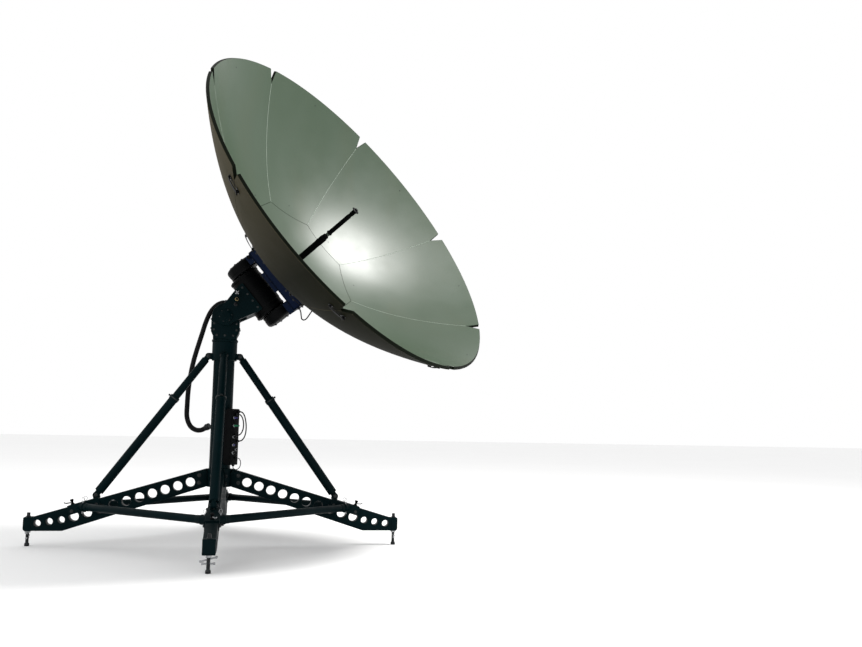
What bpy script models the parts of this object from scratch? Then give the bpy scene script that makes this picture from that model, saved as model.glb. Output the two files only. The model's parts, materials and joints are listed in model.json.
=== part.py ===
"""A portable satellite tracking antenna on a two-axis mount and a four-legged stand.

The dish is made of eight petals round an octagonal hub panel. A bracket behind the
hub turns on the upper axis, which lies along the drum. An arm carries the drum and
turns on the lower axis, which is level and sits on top of the column. Four legs with
round holes, four telescopic braces and four ring tubes hold the column upright.

Units are metres, +Z is up. The stand's own frame has its origin on the ground under
the column, with one leg along each of +X, -Y, -X and +Y. An empty shifts that frame so
that the model's origin is the middle of its bounding box, at ground level.
"""
import math

import bmesh
import bpy
from mathutils import Matrix, Vector

# Frame
CENTRE_X = 0.271106
CENTRE_Y = -0.160639
GAP = 0.0003
RUNNING_GAP = 0.0053

# Dish
DISH_RADIUS = 1.2
DISH_FOCAL_LENGTH = 0.6156
DISH_THICKNESS = 0.020
PETAL_COUNT = 8
PETAL_ANGLE = 2 * math.pi / PETAL_COUNT
DISH_TURN = math.radians(1.6)
SEAM_ANGLE = 0.0007
HUB_CORNER_RADIUS = 0.4575
HUB_BOSS_RADIUS = 0.19
NOTCH_DEPTH = 0.064
NOTCH_HALF_WIDTH = 0.029

# Feed on the dish's axis
FEED_LENGTH = 0.580
FEED_MAST_LENGTH = 0.330
FEED_MAST_RADIUS = 0.0225
FEED_TUBE_RADIUS = 0.015
FEED_COLLAR_RADIUS = 0.019
FEED_NECK_RADIUS = 0.012
FEED_PLATE_RADIUS = 0.025
FEED_FLANGE_RADIUS = 0.040
FEED_SEAT = 0.0015

# Mount
X_AXIS_HEIGHT = 1.467
X_AXIS_TILT = math.radians(49.8)
Y_AXIS_TILT = math.radians(31.6)
AXIS_SPACING = 0.2918
DISH_OFFSET = 0.296
HEAD_HALF_WIDTH = 0.090
HEAD_HALF_DEPTH = 0.080
HEAD_DOME_RADIUS = 0.088
HEAD_FOOT_HALF_WIDTH = 0.076
HEAD_FOOT_HEIGHT = 0.018
HEAD_SHOULDER_HEIGHT = 0.048
X_SHAFT_RADIUS = 0.028
COVER_THICKNESS = 0.072
COVER_RADIUS = 0.060
RISER_FACE = 0.004
RISER_BACK = 0.052
RISER_BOTTOM = 1.550
RISER_TOP = 1.604
ARM_CHEEK_OUTER = 0.108
ARM_END_RADIUS = 0.062
ARM_ROOT = 0.105
ARM_TOP = 0.215
ARM_TOP_HALF_WIDTH = 0.105
DRUM_RADIUS = 0.105
DRUM_DROP = 0.035
DRUM_HALF_LENGTH = 0.152
END_HOUSING_RADIUS = 0.112
Y_SHAFT_RADIUS = 0.030
Y_SHAFT_REACH = 0.212
DRUM_END_REACH = 0.236
BRACKET_REACH = 0.226
BRACKET_LOWER_REACH = 0.248
BRACKET_FRAME_BOTTOM = 0.150
BRACKET_FRAME_TOP = 0.2297
BRACKET_FLOOR = 0.012
BRACKET_HALF_WIDTH = 0.120
BRACKET_WALL = 0.012
BRACKET_LEG_START = 0.165
RIB_HALF_LENGTH = 0.075
RIB_HALF_WIDTH = 0.070
RIB_CLEARANCE_RADIUS = 0.1245

# Column
COLUMN_RADIUS = 0.067
COLUMN_WALL = 0.008
COLUMN_BOTTOM = 0.371
COLUMN_TOP = 1.318
COLUMN_FLANGE_RADIUS = 0.084
COLUMN_FLANGE = 0.014
COLLAR_RADIUS = 0.080
ROUND_SEGMENTS = 32
COLUMN_SEAT_RADIUS = (COLUMN_RADIUS + GAP) / math.cos(math.pi / ROUND_SEGMENTS)

# Legs, in the vertical plane of each leg: distance from the column's axis, height
LEG_ANGLES = {"right": 0.0, "back": 90.0, "left": 180.0, "front": 270.0}
LEG_WIDTH = 0.070
LEG_START = COLLAR_RADIUS + GAP
LEG_END = 1.118
LEG_TOP_START = 0.4853
LEG_TOP_SLOPE = 0.2973
LEG_KNEE = 0.935
LEG_BOTTOM = 0.094
LARGE_HOLES = 10
LARGE_HOLE_RADIUS = 0.030
LARGE_HOLE_START = 0.178
LARGE_HOLE_PITCH = 0.077
SMALL_HOLES = 3
SMALL_HOLE_RADIUS = 0.0215
SMALL_HOLE_END = 1.084
SMALL_HOLE_PITCH = 0.070
LUG_THICKNESS = 0.008
LUG_START = 0.062
LUG_END = 0.142

# Jacks at the leg ends
JACK_POSITION = 1.1425
JACK_BLOCK_LENGTH = 0.048
JACK_SCREW_RADIUS = 0.011
JACK_FOOT_RADIUS = 0.015
JACK_TOP = 0.204
JACK_BAR_HEIGHT = 0.050
JACK_BAR_LENGTH = 0.060
JACK_BAR_RADIUS = 0.005

# Ring tubes and the clamps that hold them on the legs
RING_RADIUS = 0.862
RING_TUBE_RADIUS = 0.023
RING_TUBE_HEIGHT = 0.242
RING_TUBE_SETBACK = 0.085
CLAMP_INNER = 0.726
CLAMP_OUTER = 0.915
CLAMP_CHEEK = 0.006
CLAMP_DEPTH = 0.050
CLAMP_TOP = 0.008

# Braces
BRACE_TOP_REACH = 0.101
BRACE_TOP_HEIGHT = 1.210
BRACE_FOOT_REACH = 0.750
BRACE_FOOT_LIFT = 0.028
BRACE_JOINT = 0.30
BRACE_OVERLAP = 0.095
BRACE_UPPER_RADIUS = 0.0245
BRACE_LOWER_RADIUS = 0.0285
TONGUE_THICKNESS = 0.022
TONGUE_HALF_HEIGHT = 0.018
TONGUE_LENGTH = 0.060
TUBE_START = 0.026
PIN_LUG_THICKNESS = 0.006
PIN_LUG_RADIUS = 0.020
CROWN_HEIGHT = 0.122

# Conduit from the drive cover to the column, behind the left brace
CONDUIT_RADIUS = 0.016
CONDUIT_DEPTH = 0.150
CONDUIT_ROUTE = (
    (-0.016, CONDUIT_DEPTH, 1.582),
    (-0.034, CONDUIT_DEPTH, 1.582),
    (-0.070, CONDUIT_DEPTH, 1.563),
    (-0.106, CONDUIT_DEPTH, 1.519),
    (-0.135, CONDUIT_DEPTH, 1.448),
    (-0.157, CONDUIT_DEPTH, 1.366),
    (-0.180, CONDUIT_DEPTH, 1.280),
    (-0.202, CONDUIT_DEPTH, 1.190),
    (-0.218, CONDUIT_DEPTH, 1.095),
    (-0.228, CONDUIT_DEPTH, 1.000),
    (-0.231, 0.149, 0.900),
    (-0.229, 0.144, 0.815),
    (-0.206, 0.132, 0.757),
    (-0.168, 0.114, 0.730),
    (-0.131, 0.092, 0.729),
    (-0.100, 0.070, 0.745),
)
CONDUIT_POINTS = 26
GLAND_RADIUS = 0.021
GLAND_LENGTH = 0.038

# Junction box on the column
BOX_ANGLE = -40.0
BOX_BOTTOM = 0.512
BOX_HEIGHT = 0.358
BOX_DEPTH = 0.052
BOX_WIDTH = 0.072
BOX_FACE = COLUMN_RADIUS + BOX_DEPTH

# Short leads, each between two sockets. The box's run in its own frame, which has X out of
# the column, and the bracket's in the frame of the upper axis.
LEAD_RADIUS = 0.004
THIN_LEAD_RADIUS = 0.0025
LEAD_POINTS = 14
LEAD_SOCKET_RADIUS = 0.009
LEAD_SOCKET_LENGTH = 0.012
BOTTOM_SOCKET_LENGTH = 0.009
BOX_LEADS = {
    "box_lead_outer": (
        (0.1313, 0.024, 0.852),
        (0.1353, 0.024, 0.852),
        (0.153, 0.024, 0.846),
        (0.170, 0.024, 0.826),
        (0.181, 0.024, 0.796),
        (0.187, 0.024, 0.760),
        (0.186, 0.024, 0.724),
        (0.176, 0.024, 0.692),
        (0.157, 0.024, 0.671),
        (0.1353, 0.024, 0.664),
        (0.1313, 0.024, 0.664),
    ),
    "box_lead_inner": (
        (0.1313, 0.004, 0.836),
        (0.1353, 0.004, 0.836),
        (0.153, 0.004, 0.831),
        (0.169, 0.004, 0.815),
        (0.179, 0.004, 0.791),
        (0.182, 0.004, 0.764),
        (0.178, 0.004, 0.737),
        (0.165, 0.004, 0.715),
        (0.149, 0.004, 0.704),
        (0.1353, 0.004, 0.702),
        (0.1313, 0.004, 0.702),
    ),
}
LOWER_LEAD = (
    (0.1313, 0.014, 0.556),
    (0.1353, 0.014, 0.556),
    (0.149, 0.014, 0.552),
    (0.159, 0.014, 0.539),
    (0.162, 0.014, 0.521),
    (0.157, 0.014, 0.503),
    (0.144, 0.014, 0.489),
    (0.127, 0.014, 0.483),
    (0.111, 0.014, 0.486),
    (0.102, 0.014, 0.492),
    (0.100, 0.014, 0.4987),
    (0.100, 0.014, 0.5027),
)
BRACKET_LEAD = (
    (0.2603, -0.100, 0.180),
    (0.2643, -0.100, 0.180),
    (0.282, -0.103, 0.174),
    (0.302, -0.109, 0.163),
    (0.320, -0.113, 0.155),
    (0.334, -0.114, 0.163),
    (0.337, -0.112, 0.182),
    (0.331, -0.110, 0.208),
    (0.322, -0.107, 0.240),
    (0.313, -0.1045, 0.275),
    (0.3079, -0.1033, 0.3020),
    (0.30694, -0.10299, 0.3059),
)


def clear_scene():
    for old in list(bpy.data.objects):
        bpy.data.objects.remove(old, do_unlink=True)


def make_collection(name):
    collection = bpy.data.collections.new(name)
    bpy.context.scene.collection.children.link(collection)
    return collection


def make_material(name, colour, roughness, metallic):
    material = bpy.data.materials.new(name)
    material.use_nodes = True
    shader = material.node_tree.nodes["Principled BSDF"]
    shader.inputs["Base Color"].default_value = (*colour, 1.0)
    shader.inputs["Roughness"].default_value = roughness
    shader.inputs["Metallic"].default_value = metallic
    material.diffuse_color = (*colour, 1.0)
    return material


def make_empty(name, parent=None, location=(0, 0, 0), rotation=(0, 0, 0)):
    empty = bpy.data.objects.new(name, None)
    parts.objects.link(empty)
    empty.parent = parent
    empty.location = location
    empty.rotation_euler = rotation
    return empty


def place(data, name, material, parent, location=(0, 0, 0), rotation=(0, 0, 0)):
    """Put a mesh or curve in the model as one named sub-part."""
    piece = bpy.data.objects.new(name, data)
    parts.objects.link(piece)
    piece.parent = parent
    piece.location = location
    piece.rotation_euler = rotation
    if material is not None:
        data.materials.append(material)
    return piece


def finish_mesh(shape, name, smooth_angle=None):
    """Turn a bmesh into mesh data, with round faces shaded smooth."""
    bmesh.ops.recalc_face_normals(shape, faces=shape.faces[:])
    mesh = bpy.data.meshes.new(name)
    shape.to_mesh(mesh)
    shape.free()
    if smooth_angle:
        mesh.shade_smooth()
        mesh.set_sharp_from_angle(angle=math.radians(smooth_angle))
    return mesh


def add_box(shape, size, centre, rotation=None):
    """Add a box of a given size to a bmesh, turned about its own centre."""
    matrix = Matrix.Translation(centre)
    if rotation is not None:
        matrix = matrix @ rotation
    matrix = matrix @ Matrix.Diagonal((*size, 1.0))
    bmesh.ops.create_cube(shape, size=1.0, matrix=matrix)


def add_cylinder(shape, radius, start, end, segments=16):
    """Add a capped cylinder between two points to a bmesh."""
    start, end = Vector(start), Vector(end)
    turn = (end - start).to_track_quat("Z", "Y").to_matrix().to_4x4()
    bmesh.ops.create_cone(
        shape, cap_ends=True, segments=segments, radius1=radius, radius2=radius,
        depth=(end - start).length, matrix=Matrix.Translation((start + end) / 2) @ turn)


def box_between(shape, low, high):
    """Add a box given by its lowest and highest corners to a bmesh."""
    low, high = Vector(low), Vector(high)
    add_box(shape, high - low, (low + high) / 2)


def round_plate(shape, radius, length, thickness, matrix=Matrix.Identity(4)):
    """Add a plate with a round end about its own origin, along +Z and thin across Y."""
    outline = [(radius, length)] + arc((0, 0), radius, 0, -180, 8) + [(-radius, length)]
    near = [shape.verts.new(matrix @ Vector((x, -thickness / 2, z))) for x, z in outline]
    grown = bmesh.ops.extrude_face_region(shape, geom=[shape.faces.new(near)])
    far = [item for item in grown["geom"] if isinstance(item, bmesh.types.BMVert)]
    across = matrix.to_3x3() @ Vector((0, thickness, 0))
    bmesh.ops.translate(shape, verts=far, vec=across)


def place_turned(name, profile, material, parent, location=(0, 0, 0), rotation=(0, 0, 0),
                 closed=False, segments=ROUND_SEGMENTS):
    """Place a sub-part that is a profile of radius and height turned about Z."""
    mesh = bpy.data.meshes.new(name)
    points = [(radius, 0.0, height) for radius, height in profile]
    edges = [(i, i + 1) for i in range(len(points) - 1)]
    if closed:
        edges.append((len(points) - 1, 0))
    mesh.from_pydata(points, edges, [])
    piece = place(mesh, name, material, parent, location, rotation)
    screw = piece.modifiers.new("turn", "SCREW")
    screw.axis = "Z"
    screw.steps = segments
    screw.render_steps = segments
    screw.use_merge_vertices = True
    screw.merge_threshold = 0.00001
    screw.use_smooth_shade = False
    return piece


def combine(target, operand_mesh, operation):
    """Join to, or cut from, a sub-part the solids of an operand in the same frame."""
    operand = bpy.data.objects.new("tool_" + target.name, operand_mesh)
    cutters.objects.link(operand)
    operand.parent = target.parent
    operand.location = target.location
    operand.rotation_euler = target.rotation_euler
    operand.hide_render = True
    operand.display_type = "WIRE"
    boolean = target.modifiers.new(operation.lower(), "BOOLEAN")
    boolean.operation = operation
    boolean.solver = "EXACT"
    boolean.object = operand


def mesh_from_curve(curve, name):
    """Make a welded mesh of a curve, so that it can be cut and joined."""
    temporary = bpy.data.objects.new(name, curve)
    parts.objects.link(temporary)
    bpy.context.view_layer.update()
    graph = bpy.context.evaluated_depsgraph_get()
    mesh = bpy.data.meshes.new_from_object(temporary.evaluated_get(graph))
    bpy.data.objects.remove(temporary, do_unlink=True)
    bpy.data.curves.remove(curve)
    shape = bmesh.new()
    shape.from_mesh(mesh)
    bpy.data.meshes.remove(mesh)
    bmesh.ops.remove_doubles(shape, verts=shape.verts[:], dist=0.00001)
    return finish_mesh(shape, name)


def flat_plate(name, outline, thickness, holes=()):
    """Return the mesh of a flat outline in XY with holes, centred on its thickness."""
    curve = bpy.data.curves.new(name, "CURVE")
    curve.dimensions = "2D"
    curve.fill_mode = "BOTH"
    curve.extrude = thickness / 2
    for loop in (outline, *holes):
        spline = curve.splines.new("POLY")
        spline.points.add(len(loop) - 1)
        for point, (x, y) in zip(spline.points, loop):
            point.co = (x, y, 0.0, 1.0)
        spline.use_cyclic_u = True
    return mesh_from_curve(curve, name)


def arc(centre, radius, start, end, steps):
    """Points of an arc in the plane, angles in degrees."""
    points = []
    for i in range(steps + 1):
        angle = math.radians(start + (end - start) * i / steps)
        points.append((centre[0] + radius * math.cos(angle), centre[1] + radius * math.sin(angle)))
    return points


def circle(centre, radius, segments):
    return arc(centre, radius, 0.0, 360.0 * (segments - 1) / segments, segments - 1)


def leg_frame(side):
    """Rotation that turns a shape drawn along +X to a leg's direction."""
    return (0.0, 0.0, math.radians(LEG_ANGLES[side]))


def leg_top(reach):
    return LEG_TOP_START - LEG_TOP_SLOPE * (reach - LEG_START)


def leg_underside(reach):
    if reach >= LEG_KNEE:
        return LEG_BOTTOM
    share = (reach - LEG_START) / (LEG_KNEE - LEG_START)
    return COLUMN_BOTTOM + (LEG_BOTTOM - COLUMN_BOTTOM) * share


def dish_depth(radius):
    return radius * radius / (4 * DISH_FOCAL_LENGTH)


def dish_profile(inner, outer, steps):
    """Closed profile of the dish wall: its back from the rim inwards, then its face."""
    front = []
    back = []
    for i in range(steps + 1):
        radius = inner + (outer - inner) * i / steps
        slope = radius / (2 * DISH_FOCAL_LENGTH)
        scale = DISH_THICKNESS / math.sqrt(1 + slope * slope)
        front.append((radius, dish_depth(radius)))
        back.append((max(radius + slope * scale, 0.0), dish_depth(radius) - scale))
    return list(reversed(back)) + front


def make_column():
    outer = COLUMN_RADIUS
    inner = COLUMN_RADIUS - COLUMN_WALL
    profile = [
        (COLUMN_FLANGE_RADIUS, COLUMN_TOP), (COLUMN_FLANGE_RADIUS, COLUMN_TOP - COLUMN_FLANGE),
        (outer, COLUMN_TOP - COLUMN_FLANGE), (outer, COLUMN_BOTTOM),
        (inner, COLUMN_BOTTOM), (inner, COLUMN_TOP)]
    return place_turned("column", profile, paint, stand, closed=True)


def make_collar(name, bottom, top, lugs):
    """A ring round the column with pairs of lugs on its four sides."""
    inner = COLUMN_RADIUS + GAP
    profile = [(COLLAR_RADIUS, top), (COLLAR_RADIUS, bottom), (inner, bottom), (inner, top)]
    collar = place_turned(name, profile, paint, stand, closed=True)
    shape = bmesh.new()
    for side in LEG_ANGLES:
        turn = Matrix.Rotation(math.radians(LEG_ANGLES[side]), 4, "Z")
        lug = bmesh.new()
        lugs(lug)
        bmesh.ops.transform(lug, matrix=turn, verts=lug.verts[:])
        mesh = bpy.data.meshes.new("lug")
        lug.to_mesh(mesh)
        lug.free()
        shape.from_mesh(mesh)
        bpy.data.meshes.remove(mesh)
    combine(collar, finish_mesh(shape, name + "_lugs"), "UNION")
    return collar


def leg_lugs(shape):
    for sign in (-1, 1):
        near = sign * (LEG_WIDTH / 2 + GAP)
        far = sign * (LEG_WIDTH / 2 + GAP + LUG_THICKNESS)
        box_between(shape, (LUG_START, min(near, far), COLUMN_BOTTOM + 0.002),
                    (LUG_END, max(near, far), LEG_TOP_START - 0.016))


def brace_lugs(shape):
    inwards = Matrix.Rotation(-math.pi / 2, 4, "Y")
    for sign in (-1, 1):
        offset = sign * (TONGUE_THICKNESS / 2 + GAP + PIN_LUG_THICKNESS / 2)
        pin = (BRACE_TOP_REACH, offset, BRACE_TOP_HEIGHT)
        round_plate(shape, PIN_LUG_RADIUS, BRACE_TOP_REACH - 0.070, PIN_LUG_THICKNESS,
                    Matrix.Translation(pin) @ inwards)


def make_outrigger(side):
    outline = [
        (LEG_START, leg_top(LEG_START)), (LEG_START, COLUMN_BOTTOM), (LEG_KNEE, LEG_BOTTOM),
        (LEG_END, LEG_BOTTOM), (LEG_END, leg_top(LEG_END))]
    holes = []
    for i in range(LARGE_HOLES):
        reach = LARGE_HOLE_START + LARGE_HOLE_PITCH * i
        height = (leg_top(reach) + leg_underside(reach)) / 2
        holes.append(circle((reach, height), LARGE_HOLE_RADIUS, 14))
    for i in range(SMALL_HOLES):
        reach = SMALL_HOLE_END - SMALL_HOLE_PITCH * i
        height = (leg_top(reach) + leg_underside(reach)) / 2
        holes.append(circle((reach, height), SMALL_HOLE_RADIUS, 12))
    mesh = flat_plate("outrigger_" + side, outline, LEG_WIDTH, holes)
    turn = math.radians(LEG_ANGLES[side])
    place(mesh, "outrigger_" + side, paint, stand, rotation=(math.pi / 2, 0.0, turn))


def make_jack(side):
    """The block on a leg's end, with its levelling screw, foot and turning bar."""
    shape = bmesh.new()
    low = (LEG_END + GAP, -LEG_WIDTH / 2, LEG_BOTTOM - 0.002)
    high = (LEG_END + GAP + JACK_BLOCK_LENGTH, LEG_WIDTH / 2, leg_top(LEG_END) + 0.001)
    box_between(shape, low, high)
    jack = place(finish_mesh(shape, "jack_" + side), "jack_" + side, paint, stand,
                 rotation=leg_frame(side))
    screw = bmesh.new()
    add_cylinder(screw, JACK_SCREW_RADIUS, (JACK_POSITION, 0, 0.006), (JACK_POSITION, 0, JACK_TOP))
    combine(jack, finish_mesh(screw, "jack_screw"), "UNION")
    foot = bmesh.new()
    add_cylinder(foot, JACK_FOOT_RADIUS, (JACK_POSITION, 0, 0.0), (JACK_POSITION, 0, 0.018))
    add_cylinder(foot, JACK_BAR_RADIUS, (JACK_POSITION, -JACK_BAR_LENGTH / 2, JACK_BAR_HEIGHT),
                 (JACK_POSITION, JACK_BAR_LENGTH / 2, JACK_BAR_HEIGHT), 8)
    combine(jack, finish_mesh(foot, "jack_foot"), "UNION")


def make_ring_clamp(side):
    """A saddle over a leg, with stubs for two ring tubes and lugs for the brace's foot."""
    slope = math.atan(LEG_TOP_SLOPE)
    tilt = Matrix.Rotation(slope, 4, "Y")
    half = LEG_WIDTH / 2 + GAP
    middle = (CLAMP_INNER + CLAMP_OUTER) / 2
    seat = Vector((middle, 0.0, leg_top(middle)))
    saddle = bmesh.new()
    add_box(saddle, (CLAMP_OUTER - CLAMP_INNER, 2 * (half + CLAMP_CHEEK), CLAMP_TOP + CLAMP_DEPTH),
            seat + tilt @ Vector((0, 0, (CLAMP_TOP - CLAMP_DEPTH) / 2)), tilt)
    clamp = place(finish_mesh(saddle, "ring_clamp_" + side), "ring_clamp_" + side, paint, stand,
                  rotation=leg_frame(side))
    centre = Vector((RING_RADIUS, 0.0, RING_TUBE_HEIGHT))
    for sign in (-1, 1):
        direction = Vector((-math.sqrt(0.5), sign * math.sqrt(0.5), 0.0))
        stub = bmesh.new()
        add_cylinder(stub, RING_TUBE_RADIUS + 0.003, centre + direction * 0.004 * (2 + sign),
                     centre + direction * RING_TUBE_SETBACK)
        combine(clamp, finish_mesh(stub, "clamp_stub"), "UNION")
    lugs = bmesh.new()
    downwards = tilt @ Matrix.Rotation(math.pi, 4, "Y")
    for sign in (-1, 1):
        offset = sign * (TONGUE_THICKNESS / 2 + GAP + PIN_LUG_THICKNESS / 2)
        pin = (BRACE_FOOT_REACH, offset, leg_top(BRACE_FOOT_REACH) + BRACE_FOOT_LIFT)
        round_plate(lugs, PIN_LUG_RADIUS, 0.035, PIN_LUG_THICKNESS,
                    Matrix.Translation(pin) @ downwards)
    combine(clamp, finish_mesh(lugs, "clamp_lugs"), "UNION")
    slot = bmesh.new()
    add_box(slot, (0.5, 2 * half, 0.4), seat + tilt @ Vector((0, 0, GAP - 0.2)), tilt)
    combine(clamp, finish_mesh(slot, "clamp_slot"), "DIFFERENCE")


def make_ring_tube(first, second):
    """A straight tube between the clamps of two neighbouring legs."""
    ends = []
    for side in (first, second):
        angle = math.radians(LEG_ANGLES[side])
        ends.append(Vector((RING_RADIUS * math.cos(angle), RING_RADIUS * math.sin(angle),
                            RING_TUBE_HEIGHT)))
    along = (ends[1] - ends[0]).normalized()
    setback = RING_TUBE_SETBACK + GAP
    shape = bmesh.new()
    add_cylinder(shape, RING_TUBE_RADIUS, ends[0] + along * setback, ends[1] - along * setback)
    name = f"ring_tube_{first}_{second}"
    place(finish_mesh(shape, name, 40), name, paint, stand)


def brace_line():
    """Ends of a brace's axis in a leg's plane, and its direction downwards."""
    top = Vector((BRACE_TOP_REACH, 0.0, BRACE_TOP_HEIGHT))
    foot = Vector((BRACE_FOOT_REACH, 0.0, leg_top(BRACE_FOOT_REACH) + BRACE_FOOT_LIFT))
    return top, foot, (foot - top).normalized()


def make_brace(side):
    """Two tubes of a brace: the upper slides in the lower."""
    top, foot, down = brace_line()
    length = (foot - top).length
    joint = length * BRACE_JOINT
    along = (0.0, math.atan2(down.x, down.z), 0.0)
    turn = leg_frame(side)
    leg = make_empty("leg_line_" + side, stand, rotation=turn)

    upper = bmesh.new()
    add_cylinder(upper, BRACE_UPPER_RADIUS, (0, 0, TUBE_START), (0, 0, joint + BRACE_OVERLAP), 20)
    mesh = finish_mesh(upper, "brace_upper_" + side, 40)
    piece = place(mesh, "brace_upper_" + side, paint, leg, top, along)
    tongue = bmesh.new()
    round_plate(tongue, TONGUE_HALF_HEIGHT, TONGUE_LENGTH, TONGUE_THICKNESS)
    combine(piece, finish_mesh(tongue, "brace_tongue"), "UNION")

    start = length - joint
    bore = BRACE_UPPER_RADIUS + GAP
    profile = [(0.0, TUBE_START), (BRACE_LOWER_RADIUS, TUBE_START), (BRACE_LOWER_RADIUS, start - 0.020),
               (BRACE_LOWER_RADIUS + 0.003, start - 0.020), (BRACE_LOWER_RADIUS + 0.003, start),
               (bore, start), (bore, start - BRACE_OVERLAP - GAP),
               (0.0, start - BRACE_OVERLAP - GAP)]
    profile.reverse()
    back = (0.0, math.atan2(-down.x, -down.z), 0.0)
    piece = place_turned("brace_lower_" + side, profile, paint, leg, foot, back, segments=20)
    tongue = bmesh.new()
    round_plate(tongue, TONGUE_HALF_HEIGHT, TONGUE_LENGTH, TONGUE_THICKNESS)
    combine(piece, finish_mesh(tongue, "brace_tongue"), "UNION")


def make_head_block():
    """The fixed block on the column, with the lower axis's shaft through it."""
    bottom = COLUMN_TOP + GAP
    foot = HEAD_FOOT_HALF_WIDTH
    foot_top = bottom + HEAD_FOOT_HEIGHT
    shoulder = bottom + HEAD_SHOULDER_HEIGHT
    dome_start = X_AXIS_HEIGHT - 0.010
    outline = [(-foot, bottom), (foot, bottom), (foot, foot_top), (HEAD_HALF_WIDTH, shoulder),
               (HEAD_HALF_WIDTH, dome_start)]
    outline += arc((0, X_AXIS_HEIGHT), HEAD_DOME_RADIUS, 8, 172, 14)
    outline += [(-HEAD_HALF_WIDTH, dome_start), (-HEAD_HALF_WIDTH, shoulder), (-foot, foot_top)]
    mesh = flat_plate("head_block", outline, 2 * HEAD_HALF_DEPTH)
    head = place(mesh, "head_block", paint, stand, rotation=(math.pi / 2, 0, 0))
    shaft = bmesh.new()
    add_cylinder(shaft, X_SHAFT_RADIUS, (0, X_AXIS_HEIGHT, -ARM_CHEEK_OUTER - RUNNING_GAP),
                 (0, X_AXIS_HEIGHT, ARM_CHEEK_OUTER - 0.001), ROUND_SEGMENTS)
    combine(head, finish_mesh(shaft, "x_shaft"), "UNION")


def make_drive_cover():
    """The fixed cover on the shaft's rear end, with a riser where the conduit enters."""
    near = ARM_CHEEK_OUTER + RUNNING_GAP + GAP
    far = near + COVER_THICKNESS
    outline = arc((0, X_AXIS_HEIGHT), COVER_RADIUS, 180, 360, 16)
    outline += [(RISER_BACK, RISER_TOP), (RISER_FACE, RISER_TOP), (RISER_FACE, RISER_BOTTOM),
                (-0.040, 1.520)]
    mesh = flat_plate("x_drive_cover", outline, far - near)
    cover = place(mesh, "x_drive_cover", paint, stand, (0, (near + far) / 2, 0),
                  (math.pi / 2, 0, 0))
    bevel = cover.modifiers.new("rounded", "BEVEL")
    bevel.width = 0.004
    bevel.segments = 1
    bevel.limit_method = "ANGLE"
    bevel.angle_limit = math.radians(40)


def make_arm():
    """The fork that turns on the lower axis and carries the drum."""
    side = math.degrees(math.atan2(ARM_TOP_HALF_WIDTH - ARM_END_RADIUS, ARM_TOP))
    outline = arc((0, 0), ARM_END_RADIUS, 180 - side, 360 + side, 18)
    outline += [(ARM_TOP_HALF_WIDTH, ARM_TOP - 0.030), (ARM_TOP_HALF_WIDTH, ARM_TOP),
                (-ARM_TOP_HALF_WIDTH, ARM_TOP), (-ARM_TOP_HALF_WIDTH, ARM_TOP - 0.030)]
    mesh = flat_plate("x_arm", outline, 2 * ARM_CHEEK_OUTER)
    arm = place(mesh, "x_arm", paint, x_frame, rotation=(math.pi / 2, 0, 0))
    fork = bmesh.new()
    inner = HEAD_HALF_DEPTH + RUNNING_GAP
    box_between(fork, (-0.3, -0.3, -inner), (0.3, ARM_ROOT, inner))
    combine(arm, finish_mesh(fork, "arm_fork"), "DIFFERENCE")
    bore = bmesh.new()
    add_cylinder(bore, X_SHAFT_RADIUS + GAP, (0, 0, -0.2), (0, 0, 0.2), ROUND_SEGMENTS)
    combine(arm, finish_mesh(bore, "arm_bore"), "DIFFERENCE")
    seat = bmesh.new()
    drum_height = AXIS_SPACING - DRUM_DROP
    add_cylinder(seat, DRUM_RADIUS + GAP, (-0.3, drum_height, 0), (0.3, drum_height, 0), 48)
    combine(arm, finish_mesh(seat, "arm_seat"), "DIFFERENCE")


def make_x_cap():
    """The bearing cover on the front of the fork."""
    profile = [(0.0, 0.012), (0.030, 0.012), (0.044, 0.006), (0.044, 0.0), (0.0, 0.0)]
    place_turned("x_bearing_cap", profile, paint, x_frame, (0, -ARM_CHEEK_OUTER - GAP, 0),
                 (math.pi / 2, 0, 0), segments=24)


def make_drum():
    """The drive's round housing, with the upper axis's shaft through it off its centre."""
    end = DRUM_HALF_LENGTH
    half = [(0.0, end), (DRUM_RADIUS - 0.012, end), (DRUM_RADIUS, end - 0.012)]
    profile = half + [(radius, -height) for radius, height in reversed(half)]
    drum = place_turned("y_drive_housing", profile, black, x_frame,
                        (0, 0, AXIS_SPACING - DRUM_DROP), (0, math.pi / 2, 0), segments=48)
    shaft = bmesh.new()
    add_cylinder(shaft, Y_SHAFT_RADIUS, (-DRUM_DROP, 0, -Y_SHAFT_REACH),
                 (-DRUM_DROP, 0, Y_SHAFT_REACH), ROUND_SEGMENTS)
    combine(drum, finish_mesh(shaft, "y_shaft"), "UNION")


def make_drum_ends():
    """The two end housings, which turn on the shaft ends and carry the bracket."""
    start = DRUM_HALF_LENGTH + RUNNING_GAP
    bore = Y_SHAFT_RADIUS + GAP
    profile = [(0.0, DRUM_END_REACH), (0.086, DRUM_END_REACH), (0.100, DRUM_END_REACH - 0.006),
               (END_HOUSING_RADIUS, DRUM_END_REACH - 0.024), (END_HOUSING_RADIUS, start + 0.004),
               (END_HOUSING_RADIUS - 0.004, start), (bore, start),
               (bore, Y_SHAFT_REACH + RUNNING_GAP),
               (0.0, Y_SHAFT_REACH + RUNNING_GAP)]
    for name, sign in (("y_end_housing_upper", -1), ("y_end_housing_lower", 1)):
        place_turned(name, profile, black, y_frame, rotation=(0, sign * math.pi / 2, 0),
                     segments=48)


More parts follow.
